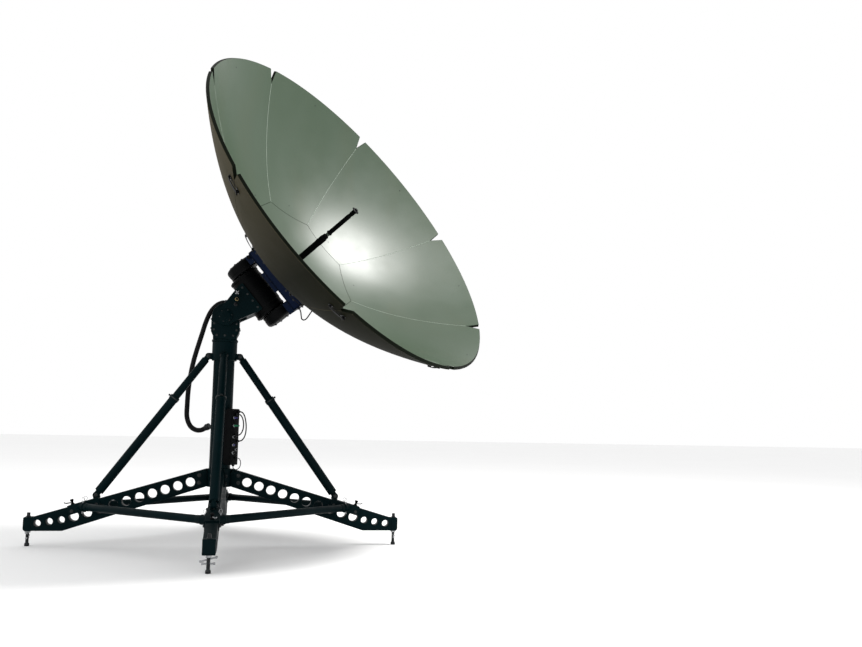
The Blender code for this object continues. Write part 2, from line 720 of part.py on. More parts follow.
def make_bracket():
    """The hollow frame behind the hub, with legs on the end housings and a middle rib."""
    reach = BRACKET_REACH
    lower_reach = BRACKET_LOWER_REACH
    far = 0.4
    shape = bmesh.new()
    box_between(shape, (-reach, -BRACKET_HALF_WIDTH, BRACKET_FRAME_BOTTOM),
                (lower_reach, BRACKET_HALF_WIDTH, BRACKET_FRAME_TOP))
    bracket = place(finish_mesh(shape, "dish_bracket"), "dish_bracket", blue, y_frame)
    legs = bmesh.new()
    top = BRACKET_FRAME_BOTTOM + 0.001
    for low, high in ((-reach, -BRACKET_LEG_START), (-RIB_HALF_LENGTH, RIB_HALF_LENGTH),
                      (BRACKET_LEG_START, lower_reach)):
        box_between(legs, (low, -RIB_HALF_WIDTH, 0.060), (high, RIB_HALF_WIDTH, top))
    combine(bracket, finish_mesh(legs, "bracket_legs"), "UNION")
    pocket = bmesh.new()
    inset = BRACKET_WALL
    box_between(pocket, (inset - reach, inset - BRACKET_HALF_WIDTH,
                         BRACKET_FRAME_BOTTOM + BRACKET_FLOOR),
                (lower_reach - inset, BRACKET_HALF_WIDTH - inset, far))
    combine(bracket, finish_mesh(pocket, "bracket_pocket"), "DIFFERENCE")
    clearance = bmesh.new()
    add_cylinder(clearance, RIB_CLEARANCE_RADIUS, (-BRACKET_LEG_START + 0.02, 0, 0),
                 (BRACKET_LEG_START - 0.02, 0, 0), 48)
    combine(bracket, finish_mesh(clearance, "bracket_drum_clearance"), "DIFFERENCE")
    seat_radius = (END_HOUSING_RADIUS + GAP) / math.cos(math.pi / 48)
    seats = bmesh.new()
    for sign in (-1, 1):
        add_cylinder(seats, seat_radius, (sign * (BRACKET_LEG_START - 0.01), 0, 0),
                     (sign * far, 0, 0), 48)
    combine(bracket, finish_mesh(seats, "bracket_seats"), "DIFFERENCE")
    socket = bmesh.new()
    start = Vector(BRACKET_LEAD[0])
    add_cylinder(socket, LEAD_SOCKET_RADIUS, (lower_reach - 0.004, start.y, start.z),
                 (lower_reach + LEAD_SOCKET_LENGTH, start.y, start.z), 12)
    combine(bracket, finish_mesh(socket, "bracket_socket"), "UNION")


def make_hub_panel():
    """The octagonal middle of the dish, with a flat boss behind it."""
    rings = 6
    wide = HUB_CORNER_RADIUS + 0.060
    face = [(wide * i / rings, dish_depth(wide * i / rings)) for i in range(rings, -1, -1)]
    back = [(radius, height - DISH_THICKNESS) for radius, height in reversed(face)]
    panel = place_turned("hub_panel", face + back, dish_skin, y_frame, (0, 0, DISH_OFFSET),
                         (0, 0, PETAL_ANGLE / 2 + DISH_TURN), closed=True,
                         segments=2 * PETAL_COUNT)
    shape = bmesh.new()
    add_cylinder(shape, HUB_CORNER_RADIUS - GAP, (0, 0, -0.2), (0, 0, 0.4), PETAL_COUNT)
    combine(panel, finish_mesh(shape, "hub_outline"), "INTERSECT")
    boss = bmesh.new()
    seat = BRACKET_FRAME_TOP + GAP - DISH_OFFSET
    add_cylinder(boss, HUB_BOSS_RADIUS, (0, 0, seat), (0, 0, -0.004), ROUND_SEGMENTS)
    combine(panel, finish_mesh(boss, "hub_boss"), "UNION")
    offset = Vector((0, 0, DISH_OFFSET))
    end, before = (Vector(point) - offset for point in reversed(BRACKET_LEAD[-2:]))
    inward = (end - before).normalized()
    socket = bmesh.new()
    add_cylinder(socket, LEAD_SOCKET_RADIUS, end + inward * GAP,
                 end + inward * (LEAD_SOCKET_LENGTH + 0.008), 12)
    turn = Matrix.Rotation(-PETAL_ANGLE / 2 - DISH_TURN, 4, "Z")
    bmesh.ops.transform(socket, matrix=turn, verts=socket.verts[:])
    combine(panel, finish_mesh(socket, "hub_socket"), "UNION")


def cut_side(shape, point, normal):
    """Cut away what lies beyond a plane and close the cut."""
    geometry = shape.verts[:] + shape.edges[:] + shape.faces[:]
    cut = bmesh.ops.bisect_plane(shape, geom=geometry, dist=0.000001, plane_co=point,
                                 plane_no=normal, clear_outer=True)
    edges = [item for item in cut["geom_cut"] if isinstance(item, bmesh.types.BMEdge)]
    bmesh.ops.contextual_create(shape, geom=edges)


def make_petal(number):
    """One eighth of the dish outside the hub, with its outer corners cut off."""
    apothem = HUB_CORNER_RADIUS * math.cos(PETAL_ANGLE / 2)
    sweep = PETAL_ANGLE - SEAM_ANGLE
    shape = bmesh.new()
    profile = dish_profile(apothem - 0.012, DISH_RADIUS, 8)
    corners = [shape.verts.new((radius, 0.0, height)) for radius, height in profile]
    face = shape.faces.new(corners)
    bmesh.ops.rotate(shape, verts=shape.verts[:], cent=(0, 0, 0),
                     matrix=Matrix.Rotation(-sweep / 2, 3, "Z"))
    bmesh.ops.spin(shape, geom=[face] + face.edges[:] + face.verts[:], cent=(0, 0, 0),
                   axis=(0, 0, 1), angle=sweep, steps=6, use_duplicate=False)
    cut_side(shape, (apothem + GAP, 0, 0), (-1, 0, 0))
    for sign in (-1, 1):
        half = PETAL_ANGLE / 2
        on_seam = Vector((math.cos(half), sign * math.sin(half), 0)) * (DISH_RADIUS - NOTCH_DEPTH)
        angle = half - NOTCH_HALF_WIDTH / DISH_RADIUS
        on_rim = Vector((math.cos(angle), sign * math.sin(angle), 0)) * DISH_RADIUS
        along = on_rim - on_seam
        normal = Vector((-along.y, along.x, 0)) * sign
        cut_side(shape, on_seam, normal)
    name = f"petal_{number}"
    place(finish_mesh(shape, name, 30), name, dish_skin, y_frame, (0, 0, DISH_OFFSET),
          (0, 0, PETAL_ANGLE * (number - 1) + DISH_TURN))


def make_feed():
    """The feed's mast on the hub, and the thinner tube with its end plate."""
    foot = FEED_SEAT + GAP
    top = FEED_MAST_LENGTH
    mast = [(0.0, top), (FEED_NECK_RADIUS, top), (FEED_NECK_RADIUS, top - 0.018),
            (FEED_COLLAR_RADIUS, top - 0.024), (FEED_COLLAR_RADIUS, top - 0.040),
            (FEED_MAST_RADIUS, top - 0.046), (FEED_MAST_RADIUS, 0.022),
            (FEED_FLANGE_RADIUS, 0.016), (FEED_FLANGE_RADIUS, foot), (0.0, foot)]
    place_turned("feed_mast", mast, black, y_frame, (0, 0, DISH_OFFSET), segments=24)
    start = FEED_MAST_LENGTH + GAP
    end = FEED_LENGTH
    tip = [(0.0, end), (0.010, end), (0.012, end - 0.008), (FEED_PLATE_RADIUS, end - 0.010),
           (FEED_PLATE_RADIUS, end - 0.016), (FEED_TUBE_RADIUS, end - 0.018),
           (FEED_TUBE_RADIUS, start + 0.012), (FEED_COLLAR_RADIUS, start + 0.008),
           (FEED_COLLAR_RADIUS, start), (0.0, start)]
    place_turned("feed_tube", tip, black, y_frame, (0, 0, DISH_OFFSET), segments=24)


def smooth_route(route, count):
    """Points of one smooth curve through a route, spread evenly in number."""
    points = [Vector(point) for point in route]
    padded = [2 * points[0] - points[1]] + points + [2 * points[-1] - points[-2]]
    spans = len(points) - 1
    result = []
    for i in range(count):
        position = spans * i / (count - 1)
        span = min(int(position), spans - 1)
        t = position - span
        before, start, end, after = padded[span:span + 4]
        result.append(0.5 * (
            2 * start + (end - before) * t + (2 * before - 5 * start + 4 * end - after) * t * t
            + (3 * start - before - 3 * end + after) * t * t * t))
    return result


def make_tube(name, points, radius, material, parent):
    curve = bpy.data.curves.new(name, "CURVE")
    curve.dimensions = "3D"
    curve.bevel_depth = radius
    curve.bevel_resolution = 2
    curve.use_fill_caps = True
    spline = curve.splines.new("POLY")
    spline.points.add(len(points) - 1)
    for point, place_at in zip(spline.points, points):
        point.co = (*place_at, 1.0)
    return place(curve, name, material, parent)


def make_conduit():
    """The conduit and the glands at its two ends."""
    points = smooth_route(CONDUIT_ROUTE, CONDUIT_POINTS)
    make_tube("conduit", points, CONDUIT_RADIUS, rubber, stand)
    make_gland("conduit_gland_upper", points[0], points[1])
    make_gland("conduit_gland_lower", points[-1], points[-2])


def make_gland(name, end, before):
    """A gland in line with the conduit's end, cut to what it is screwed into."""
    inward = (end - before).normalized()
    shape = bmesh.new()
    add_cylinder(shape, GLAND_RADIUS, end + inward * GAP, end + inward * GLAND_LENGTH, 12)
    gland = place(finish_mesh(shape, name, 40), name, black, stand)
    wall = bmesh.new()
    if end.z > X_AXIS_HEIGHT:
        box_between(wall, (RISER_FACE - GAP, 0.0, X_AXIS_HEIGHT), (0.2, 0.3, 1.8))
    else:
        add_cylinder(wall, COLUMN_SEAT_RADIUS, (0, 0, 0.5), (0, 0, 1.0), ROUND_SEGMENTS)
    combine(gland, finish_mesh(wall, "gland_seat"), "DIFFERENCE")


def make_junction_box():
    """The tall box on the column, shaped to it at the back."""
    shape = bmesh.new()
    start = COLUMN_RADIUS - 0.012
    box_between(shape, (start, -BOX_WIDTH / 2, BOX_BOTTOM),
                (BOX_FACE, BOX_WIDTH / 2, BOX_BOTTOM + BOX_HEIGHT))
    box = place(finish_mesh(shape, "junction_box"), "junction_box", black, stand,
                rotation=(0, 0, math.radians(BOX_ANGLE)))
    wall = bmesh.new()
    add_cylinder(wall, COLUMN_SEAT_RADIUS, (0, 0, 0.4), (0, 0, 1.0), ROUND_SEGMENTS)
    combine(box, finish_mesh(wall, "box_seat"), "DIFFERENCE")
    places = [LOWER_LEAD[0]]
    for route in BOX_LEADS.values():
        places += [route[0], route[-1]]
    sockets = bmesh.new()
    for _, across, height in places:
        add_cylinder(sockets, LEAD_SOCKET_RADIUS, (BOX_FACE - 0.004, across, height),
                     (BOX_FACE + LEAD_SOCKET_LENGTH, across, height), 12)
    reach, across, _ = LOWER_LEAD[-1]
    add_cylinder(sockets, LEAD_SOCKET_RADIUS, (reach, across, BOX_BOTTOM + 0.004),
                 (reach, across, BOX_BOTTOM - BOTTOM_SOCKET_LENGTH), 12)
    combine(box, finish_mesh(sockets, "box_sockets"), "UNION")


def lead_points(route, count):
    """Points of a lead: straight out of each socket, and one smooth curve between."""
    return [Vector(route[0])] + smooth_route(route[1:-1], count) + [Vector(route[-1])]


def make_leads():
    """The short leads between the junction box's own sockets, and the bracket's lead."""
    box_frame = make_empty("box_frame", stand, rotation=(0, 0, math.radians(BOX_ANGLE)))
    for name, route in BOX_LEADS.items():
        make_tube(name, lead_points(route, LEAD_POINTS), LEAD_RADIUS, rubber, box_frame)
    make_tube("box_lead_lower", lead_points(LOWER_LEAD, LEAD_POINTS), THIN_LEAD_RADIUS, rubber,
              box_frame)
    make_tube("bracket_lead", lead_points(BRACKET_LEAD, LEAD_POINTS), LEAD_RADIUS, rubber,
              y_frame)


clear_scene()
parts = make_collection("satellite_tracking_antenna")
cutters = make_collection("cutters")

paint = make_material("teal_paint", (0.012, 0.070, 0.075), 0.42, 0.0)
blue = make_material("blue_paint", (0.020, 0.055, 0.130), 0.45, 0.0)
black = make_material("black_paint", (0.012, 0.013, 0.016), 0.50, 0.0)
rubber = make_material("black_rubber", (0.010, 0.010, 0.012), 0.60, 0.0)
dish_skin = make_material("dish_paint", (0.220, 0.290, 0.235), 0.45, 0.0)

stand = make_empty("stand_frame", location=(-CENTRE_X, -CENTRE_Y, 0))
x_frame = make_empty("x_axis_frame", stand, (0, 0, X_AXIS_HEIGHT), (0, X_AXIS_TILT, 0))
y_frame = make_empty("y_axis_frame", x_frame, (0, 0, AXIS_SPACING), (Y_AXIS_TILT, 0, 0))

make_column()
make_collar("base_hub", COLUMN_BOTTOM, LEG_TOP_START, leg_lugs)
make_collar("brace_crown", COLUMN_TOP - COLUMN_FLANGE - GAP - CROWN_HEIGHT,
            COLUMN_TOP - COLUMN_FLANGE - GAP, brace_lugs)
for side_name in LEG_ANGLES:
    make_outrigger(side_name)
    make_jack(side_name)
    make_ring_clamp(side_name)
    make_brace(side_name)
sides = list(LEG_ANGLES)
for index, side_name in enumerate(sides):
    make_ring_tube(side_name, sides[(index + 1) % 4])
make_head_block()
make_drive_cover()
make_arm()
make_x_cap()
make_drum()
make_drum_ends()
make_bracket()
make_hub_panel()
for petal_number in range(1, PETAL_COUNT + 1):
    make_petal(petal_number)
make_feed()
make_conduit()
make_junction_box()
make_leads()
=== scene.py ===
"""Looks of a portable satellite tracking antenna: its finish, fasteners, seams and leads.

Every piece is drawn in the frame of the solid that it stands for and then carried to the
model's own frame, so that it lies where that solid lies. Units are metres, +Z is up.
"""
import json
import math

import bmesh
import bpy
from mathutils import Matrix, Vector


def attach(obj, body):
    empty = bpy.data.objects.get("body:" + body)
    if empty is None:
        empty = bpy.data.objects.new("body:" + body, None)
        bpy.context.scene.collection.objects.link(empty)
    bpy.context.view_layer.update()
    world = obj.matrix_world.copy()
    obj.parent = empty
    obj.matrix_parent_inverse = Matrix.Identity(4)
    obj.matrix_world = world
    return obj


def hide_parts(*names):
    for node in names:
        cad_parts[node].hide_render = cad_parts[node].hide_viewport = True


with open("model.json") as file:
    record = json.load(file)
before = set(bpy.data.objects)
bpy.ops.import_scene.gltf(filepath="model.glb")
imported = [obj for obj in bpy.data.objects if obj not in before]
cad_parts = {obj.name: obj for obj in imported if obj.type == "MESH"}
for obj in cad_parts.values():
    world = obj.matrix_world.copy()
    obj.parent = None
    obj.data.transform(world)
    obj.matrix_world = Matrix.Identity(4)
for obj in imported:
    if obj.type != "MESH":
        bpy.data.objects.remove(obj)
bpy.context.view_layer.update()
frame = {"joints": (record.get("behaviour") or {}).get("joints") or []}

# Frames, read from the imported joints
joints = {joint["name"]: joint for joint in frame["joints"]}
lower_axis = Vector(joints["lower_axis"]["pos_m"])
upper_axis = Vector(joints["upper_axis"]["pos_m"])
arm_line = upper_axis - lower_axis
ARM_TILT = math.atan2(arm_line.x, arm_line.z)
DISH_TILT = math.radians(31.6)
STAND = Matrix.Translation((lower_axis.x, lower_axis.y, 0.0))
ARM = Matrix.Translation(lower_axis) @ Matrix.Rotation(ARM_TILT, 4, "Y")
YOKE = (Matrix.Translation(upper_axis) @ Matrix.Rotation(ARM_TILT, 4, "Y")
        @ Matrix.Rotation(DISH_TILT, 4, "X"))
AXIS_SPACING = arm_line.length
DISH_OFFSET = 0.296
DISH_TURN = math.radians(1.6)
DISH = YOKE @ Matrix.Translation((0, 0, DISH_OFFSET)) @ Matrix.Rotation(DISH_TURN, 4, "Z")
X_AXIS_HEIGHT = lower_axis.z
GAP = 0.0003
RUNNING_GAP = 0.0053
TURN = Matrix.Rotation
MOVE = Matrix.Translation
UPRIGHT = TURN(math.pi / 2, 4, "X")
ALONG_X = Matrix(((0, 0, 1, 0), (1, 0, 0, 0), (0, 1, 0, 0), (0, 0, 0, 1)))
BOX_ANGLE = math.radians(-40.0)
BOX = STAND @ TURN(BOX_ANGLE, 4, "Z")

# Dish
DISH_RADIUS = 1.2
FOCAL_LENGTH = 0.6156
DISH_THICKNESS = 0.020
PETAL_COUNT = 8
PETAL_ANGLE = 2 * math.pi / PETAL_COUNT
HUB_CORNER_RADIUS = 0.4575
HUB_APOTHEM = HUB_CORNER_RADIUS * math.cos(PETAL_ANGLE / 2)
HUB_BOSS_RADIUS = 0.19
NOTCH_DEPTH = 0.064
NOTCH_HALF_WIDTH = 0.029
RIM_STUD_RADIUS = 1.160
INNER_STUD_RADIUS = 0.494
FEED_LENGTH = 0.580
FEED_MAST_LENGTH = 0.330
FEED_MAST_RADIUS = 0.0225
FEED_TUBE_RADIUS = 0.015

# Mount
HEAD_HALF_WIDTH = 0.090
HEAD_HALF_DEPTH = 0.080
HEAD_DOME_RADIUS = 0.088
HEAD_FOOT_HALF_WIDTH = 0.076
HEAD_FOOT_HEIGHT = 0.018
HEAD_SHOULDER_HEIGHT = 0.048
ARM_CHEEK_OUTER = 0.108
ARM_CHEEK_INNER = HEAD_HALF_DEPTH + RUNNING_GAP
ARM_END_RADIUS = 0.062
ARM_ROOT = 0.105
ARM_TOP = 0.215
ARM_TOP_HALF_WIDTH = 0.105
DRUM_RADIUS = 0.105
DRUM_DROP = 0.035
DRUM_HALF_LENGTH = 0.152
END_HOUSING_RADIUS = 0.112
DRUM_END_REACH = 0.236
BRACKET_REACH = 0.226
BRACKET_LOWER_REACH = 0.248
BRACKET_BOTTOM = 0.150
BRACKET_TOP = 0.2297
BRACKET_HALF_WIDTH = 0.120
BRACKET_WALL = 0.012
BRACKET_LEG_START = 0.165
RIB_HALF_LENGTH = 0.075
RIB_HALF_WIDTH = 0.070
RIB_CLEARANCE_RADIUS = 0.1245
COVER_THICKNESS = 0.072
COVER_RADIUS = 0.060
RISER_FACE = 0.004
RISER_BACK = 0.052
RISER_BOTTOM = 1.550
RISER_TOP = 1.604

# Stand
COLUMN_RADIUS = 0.067
COLUMN_BOTTOM = 0.371
COLUMN_TOP = 1.318
COLUMN_FLANGE_RADIUS = 0.084
COLUMN_FLANGE = 0.014
COLLAR_RADIUS = 0.080
CROWN_HEIGHT = 0.122
LEG_ANGLES = {"right": 0.0, "back": 90.0, "left": 180.0, "front": 270.0}
LEG_WIDTH = 0.070
LEG_START = COLLAR_RADIUS + GAP
LEG_END = 1.118
LEG_TOP_START = 0.4853
LEG_TOP_SLOPE = 0.2973
LEG_KNEE = 0.935
LEG_BOTTOM = 0.094
LARGE_HOLES = 10
LARGE_HOLE_RADIUS = 0.030
LARGE_HOLE_START = 0.178
LARGE_HOLE_PITCH = 0.077
SMALL_HOLES = 3
SMALL_HOLE_RADIUS = 0.0215
SMALL_HOLE_END = 1.084
SMALL_HOLE_PITCH = 0.070
JACK_POSITION = 1.1425
JACK_BLOCK_LENGTH = 0.048
JACK_TOP = 0.204
RING_RADIUS = 0.862
RING_TUBE_RADIUS = 0.023
RING_TUBE_HEIGHT = 0.242
RING_TUBE_SETBACK = 0.085
CLAMP_INNER = 0.726
CLAMP_OUTER = 0.915
CLAMP_CHEEK = 0.006
CLAMP_DEPTH = 0.050
CLAMP_TOP = 0.008
BRACE_TOP_REACH = 0.101
BRACE_TOP_HEIGHT = 1.210
BRACE_FOOT_REACH = 0.750
BRACE_FOOT_LIFT = 0.028
BRACE_JOINT = 0.30
BRACE_OVERLAP = 0.095
BRACE_UPPER_RADIUS = 0.0245
BRACE_LOWER_RADIUS = 0.0285
TONGUE_THICKNESS = 0.022
TONGUE_HALF_HEIGHT = 0.018
TONGUE_LENGTH = 0.060
TUBE_START = 0.026
PIN_LUG_THICKNESS = 0.006
PIN_LUG_RADIUS = 0.020
BOX_BOTTOM = 0.512
BOX_HEIGHT = 0.358
BOX_DEPTH = 0.052
BOX_WIDTH = 0.072
BOX_FACE = COLUMN_RADIUS + BOX_DEPTH

# Conduit, through the points that part.py names
CONDUIT_RADIUS = 0.016
CONDUIT_DEPTH = 0.150
CONDUIT_ROUTE = (
    (-0.016, CONDUIT_DEPTH, 1.582),
    (-0.034, CONDUIT_DEPTH, 1.582),
    (-0.070, CONDUIT_DEPTH, 1.563),
    (-0.106, CONDUIT_DEPTH, 1.519),
    (-0.135, CONDUIT_DEPTH, 1.448),
    (-0.157, CONDUIT_DEPTH, 1.366),
    (-0.180, CONDUIT_DEPTH, 1.280),
    (-0.202, CONDUIT_DEPTH, 1.190),
    (-0.218, CONDUIT_DEPTH, 1.095),
    (-0.228, CONDUIT_DEPTH, 1.000),
    (-0.231, 0.149, 0.900),
    (-0.229, 0.144, 0.815),
    (-0.206, 0.132, 0.757),
    (-0.168, 0.114, 0.730),
    (-0.131, 0.092, 0.729),
    (-0.100, 0.070, 0.745),
)

# Short leads, through the points that part.py names, in the box's frame and the yoke's
LEAD_RADIUS = 0.004
THIN_LEAD_RADIUS = 0.0025
LEAD_SOCKET_RADIUS = 0.009
LEAD_SOCKET_LENGTH = 0.012
BOTTOM_SOCKET_LENGTH = 0.009
OUTER_LEAD = (
    (0.1313, 0.024, 0.852),
    (0.1353, 0.024, 0.852),
    (0.153, 0.024, 0.846),
    (0.170, 0.024, 0.826),
    (0.181, 0.024, 0.796),
    (0.187, 0.024, 0.760),
    (0.186, 0.024, 0.724),
    (0.176, 0.024, 0.692),
    (0.157, 0.024, 0.671),
    (0.1353, 0.024, 0.664),
    (0.1313, 0.024, 0.664),
)
INNER_LEAD = (
    (0.1313, 0.004, 0.836),
    (0.1353, 0.004, 0.836),
    (0.153, 0.004, 0.831),
    (0.169, 0.004, 0.815),
    (0.179, 0.004, 0.791),
    (0.182, 0.004, 0.764),
    (0.178, 0.004, 0.737),
    (0.165, 0.004, 0.715),
    (0.149, 0.004, 0.704),
    (0.1353, 0.004, 0.702),
    (0.1313, 0.004, 0.702),
)
LOWER_LEAD = (
    (0.1313, 0.014, 0.556),
    (0.1353, 0.014, 0.556),
    (0.149, 0.014, 0.552),
    (0.159, 0.014, 0.539),
    (0.162, 0.014, 0.521),
    (0.157, 0.014, 0.503),
    (0.144, 0.014, 0.489),
    (0.127, 0.014, 0.483),
    (0.111, 0.014, 0.486),
    (0.102, 0.014, 0.492),
    (0.100, 0.014, 0.4987),
    (0.100, 0.014, 0.5027),
)
BRACKET_LEAD = (
    (0.2603, -0.100, 0.180),
    (0.2643, -0.100, 0.180),
    (0.282, -0.103, 0.174),
    (0.302, -0.109, 0.163),
    (0.320, -0.113, 0.155),
    (0.334, -0.114, 0.163),
    (0.337, -0.112, 0.182),
    (0.331, -0.110, 0.208),
    (0.322, -0.107, 0.240),
    (0.313, -0.1045, 0.275),
    (0.3079, -0.1033, 0.3020),
    (0.30694, -0.10299, 0.3059),
)

# Camera, fitted to the photograph
CAMERA_PLACE = Vector((0.1947, -6.2314, 0.790))
CAMERA_YAW = math.radians(10.69)
CAMERA_PITCH = math.radians(6.23)
CAMERA_ROLL = math.radians(1.14)
FOCAL_PIXELS = 931.8
PHOTO_WIDTH = 862
FILM_WIDTH = 36.0


# Materials
RUBBER_SHEEN = 0.07


def start_material(name):
    material = bpy.data.materials.new(name)
    material.use_nodes = True
    tree = material.node_tree
    return material, tree, tree.nodes["Principled BSDF"]


def node(tree, kind, **settings):
    """Add a shader node; a setting names a property, or an input that is set."""
    made = tree.nodes.new("ShaderNode" + kind)
    for key, value in settings.items():
        if key in made.inputs:
            made.inputs[key].default_value = value
        else:
            setattr(made, key, value)
    return made


def noise(tree, scale, detail=4.0, stretch=(1, 1, 1)):
    """Factor of a noise that is fixed to the surface."""
    place = tree.nodes.new("ShaderNodeTexCoord")
    mapping = node(tree, "Mapping", Scale=stretch)
    tree.links.new(place.outputs["Object"], mapping.inputs["Vector"])
    made = node(tree, "TexNoise", Scale=scale, Detail=detail)
    tree.links.new(mapping.outputs["Vector"], made.inputs["Vector"])
    return made.outputs["Fac"]


def window(tree, factor, low, high, top=1.0):
    """Remap a factor so that low gives 0 and high gives top."""
    made = node(tree, "MapRange")
    tree.links.new(factor, made.inputs["Value"])
    made.inputs["From Min"].default_value = low
    made.inputs["From Max"].default_value = high
    made.inputs["To Max"].default_value = top
    return made.outputs["Result"]


def multiply(tree, first, second):
    made = node(tree, "Math", operation="MULTIPLY")
    tree.links.new(first, made.inputs[0])
    tree.links.new(second, made.inputs[1])
    return made.outputs["Value"]


def mix(tree, factor, first, second):
    """Mix two colours; each is a colour or a socket."""
    made = node(tree, "Mix", data_type="RGBA")
    tree.links.new(factor, made.inputs["Factor"])
    for name, value in (("A", first), ("B", second)):
        socket = [item for item in made.inputs if item.name == name and item.type == "RGBA"][0]
        if isinstance(value, bpy.types.NodeSocket):
            tree.links.new(value, socket)
        else:
            socket.default_value = (*value, 1.0)
    return [item for item in made.outputs if item.type == "RGBA"][0]


def edge_mask(tree, width):
    """Mask of the stretch along outer edges, where paint is rubbed thin."""
    soft = node(tree, "Bevel", samples=4, Radius=width)
    plain = tree.nodes.new("ShaderNodeNewGeometry")
    dot = node(tree, "VectorMath", operation="DOT_PRODUCT")
    tree.links.new(soft.outputs["Normal"], dot.inputs[0])
    tree.links.new(plain.outputs["Normal"], dot.inputs[1])
    return window(tree, dot.outputs["Value"], 0.985, 0.80)


def facing_up(tree, low=0.35, high=1.0):
    """Mask of the faces that look up at rest, or down when high is below low."""
    place = tree.nodes.new("ShaderNodeTexCoord")
    split = tree.nodes.new("ShaderNodeSeparateXYZ")
    tree.links.new(place.outputs["Normal"], split.inputs["Vector"])
    return window(tree, split.outputs["Z"], low, high)


def add_bump(tree, shader, scale, strength, distance, detail=3.0, stretch=(1, 1, 1)):
    bump = node(tree, "Bump", Strength=strength, Distance=distance)
    tree.links.new(noise(tree, scale, detail, stretch), bump.inputs["Height"])
    before = shader.inputs["Normal"].links
    if before:
        tree.links.new(before[0].from_socket, bump.inputs["Normal"])
    tree.links.new(bump.outputs["Normal"], shader.inputs["Normal"])


def make_paint(name, colour, light, dust, rough, sheen, worn=None, grain=260.0):
    """Sprayed paint: two tones, dust on top faces, rubbed edges and orange peel."""
    material, tree, shader = start_material(name)
    shader.inputs["Specular IOR Level"].default_value = sheen
    tone = mix(tree, window(tree, noise(tree, 2.6, 5.0), 0.35, 0.70), colour, light)
    fine = window(tree, noise(tree, 38.0, 3.0), 0.40, 0.75, 0.35)
    tone = mix(tree, fine, tone, [value * 0.72 for value in colour])
    patch = window(tree, noise(tree, 9.0, 6.0), 0.42, 0.72, 0.55)
    tone = mix(tree, multiply(tree, facing_up(tree), patch), tone, dust)
    if worn is not None:
        chips = window(tree, noise(tree, 55.0, 6.0), 0.50, 0.62)
        tone = mix(tree, multiply(tree, edge_mask(tree, 0.004), chips), tone, worn)
    tree.links.new(tone, shader.inputs["Base Color"])
    gloss = window(tree, noise(tree, 14.0, 5.0), 0.25, 0.80)
    spread = node(tree, "MapRange")
    tree.links.new(gloss, spread.inputs["Value"])
    spread.inputs["To Min"].default_value = rough - 0.07
    spread.inputs["To Max"].default_value = rough + 0.13
    tree.links.new(spread.outputs["Result"], shader.inputs["Roughness"])
    add_bump(tree, shader, grain, 0.10, 0.0006)
    add_bump(tree, shader, 7.0, 0.06, 0.004)
    return material


def make_metal(name, colour, dark, rough, brushed=(1, 1, 1)):
    """Bare or plated metal with a brushed grain and dull patches."""
    material, tree, shader = start_material(name)
    tone = mix(tree, window(tree, noise(tree, 60.0, 5.0), 0.35, 0.75), colour, dark)
    tree.links.new(tone, shader.inputs["Base Color"])
    shader.inputs["Metallic"].default_value = 1.0
    spread = node(tree, "MapRange")
    tree.links.new(noise(tree, 90.0, 3.0, brushed), spread.inputs["Value"])
    spread.inputs["To Min"].default_value = rough - 0.08
    spread.inputs["To Max"].default_value = rough + 0.18
    tree.links.new(spread.outputs["Result"], shader.inputs["Roughness"])
    add_bump(tree, shader, 300.0, 0.08, 0.0004, 2.0, brushed)
    return material


def make_dish_skin(name, colour, light, dirt_and_shade, rough, sheen, shade_underside=False):
    """Satin paint on a moulded shell, with soft clouds, grime streaks and faint waves, and optionally
    painted shade on the faces that look down.
    """
    material, tree, shader = start_material(name)
    shader.inputs["Specular IOR Level"].default_value = sheen
    tone = mix(tree, window(tree, noise(tree, 1.3, 3.0), 0.30, 0.72), colour, light)
    each = tree.nodes.new("ShaderNodeObjectInfo")
    panel = window(tree, each.outputs["Random"], 0.0, 1.0, 0.16)
    tone = mix(tree, panel, tone, [value * 0.80 for value in colour])
    streak = window(tree, noise(tree, 4.0, 6.0, (1.0, 1.0, 0.18)), 0.52, 0.78, 0.34)
    tone = mix(tree, streak, tone, dirt_and_shade)
    # painted shade: faces that look down at rest are darkened towards a deep tone of the dirt colour
    if shade_underside:
        painted_under_shade = window(tree, facing_up(tree, -0.30, -0.72), 0.0, 1.0, 0.95)
        tone = mix(tree, painted_under_shade, tone, [value * 0.30 for value in dirt_and_shade])
    speck = window(tree, noise(tree, 130.0, 2.0), 0.66, 0.78, 0.5)
    tone = mix(tree, speck, tone, [value * 0.6 for value in colour])
    tree.links.new(tone, shader.inputs["Base Color"])
    spread = node(tree, "MapRange")
    tree.links.new(noise(tree, 5.0, 5.0), spread.inputs["Value"])
    spread.inputs["To Min"].default_value = rough - 0.06
    spread.inputs["To Max"].default_value = rough + 0.10
    tree.links.new(spread.outputs["Result"], shader.inputs["Roughness"])
    add_bump(tree, shader, 340.0, 0.05, 0.0004)
    add_bump(tree, shader, 2.2, 0.03, 0.010, 2.0)
    return material


def make_rubber(name, colour, light, rough):
    """Cable sheath or rubber, in two tones, with a fine grain."""
    material, tree, shader = start_material(name)
    shader.inputs["Specular IOR Level"].default_value = RUBBER_SHEEN
    tone = mix(tree, window(tree, noise(tree, 24.0, 5.0), 0.35, 0.75), colour, light)
    tree.links.new(tone, shader.inputs["Base Color"])
    spread = node(tree, "MapRange")
    tree.links.new(noise(tree, 30.0, 3.0), spread.inputs["Value"])
    spread.inputs["To Min"].default_value = rough - 0.05
    spread.inputs["To Max"].default_value = rough + 0.15
    tree.links.new(spread.outputs["Result"], shader.inputs["Roughness"])
    add_bump(tree, shader, 500.0, 0.10, 0.0005)
    return material


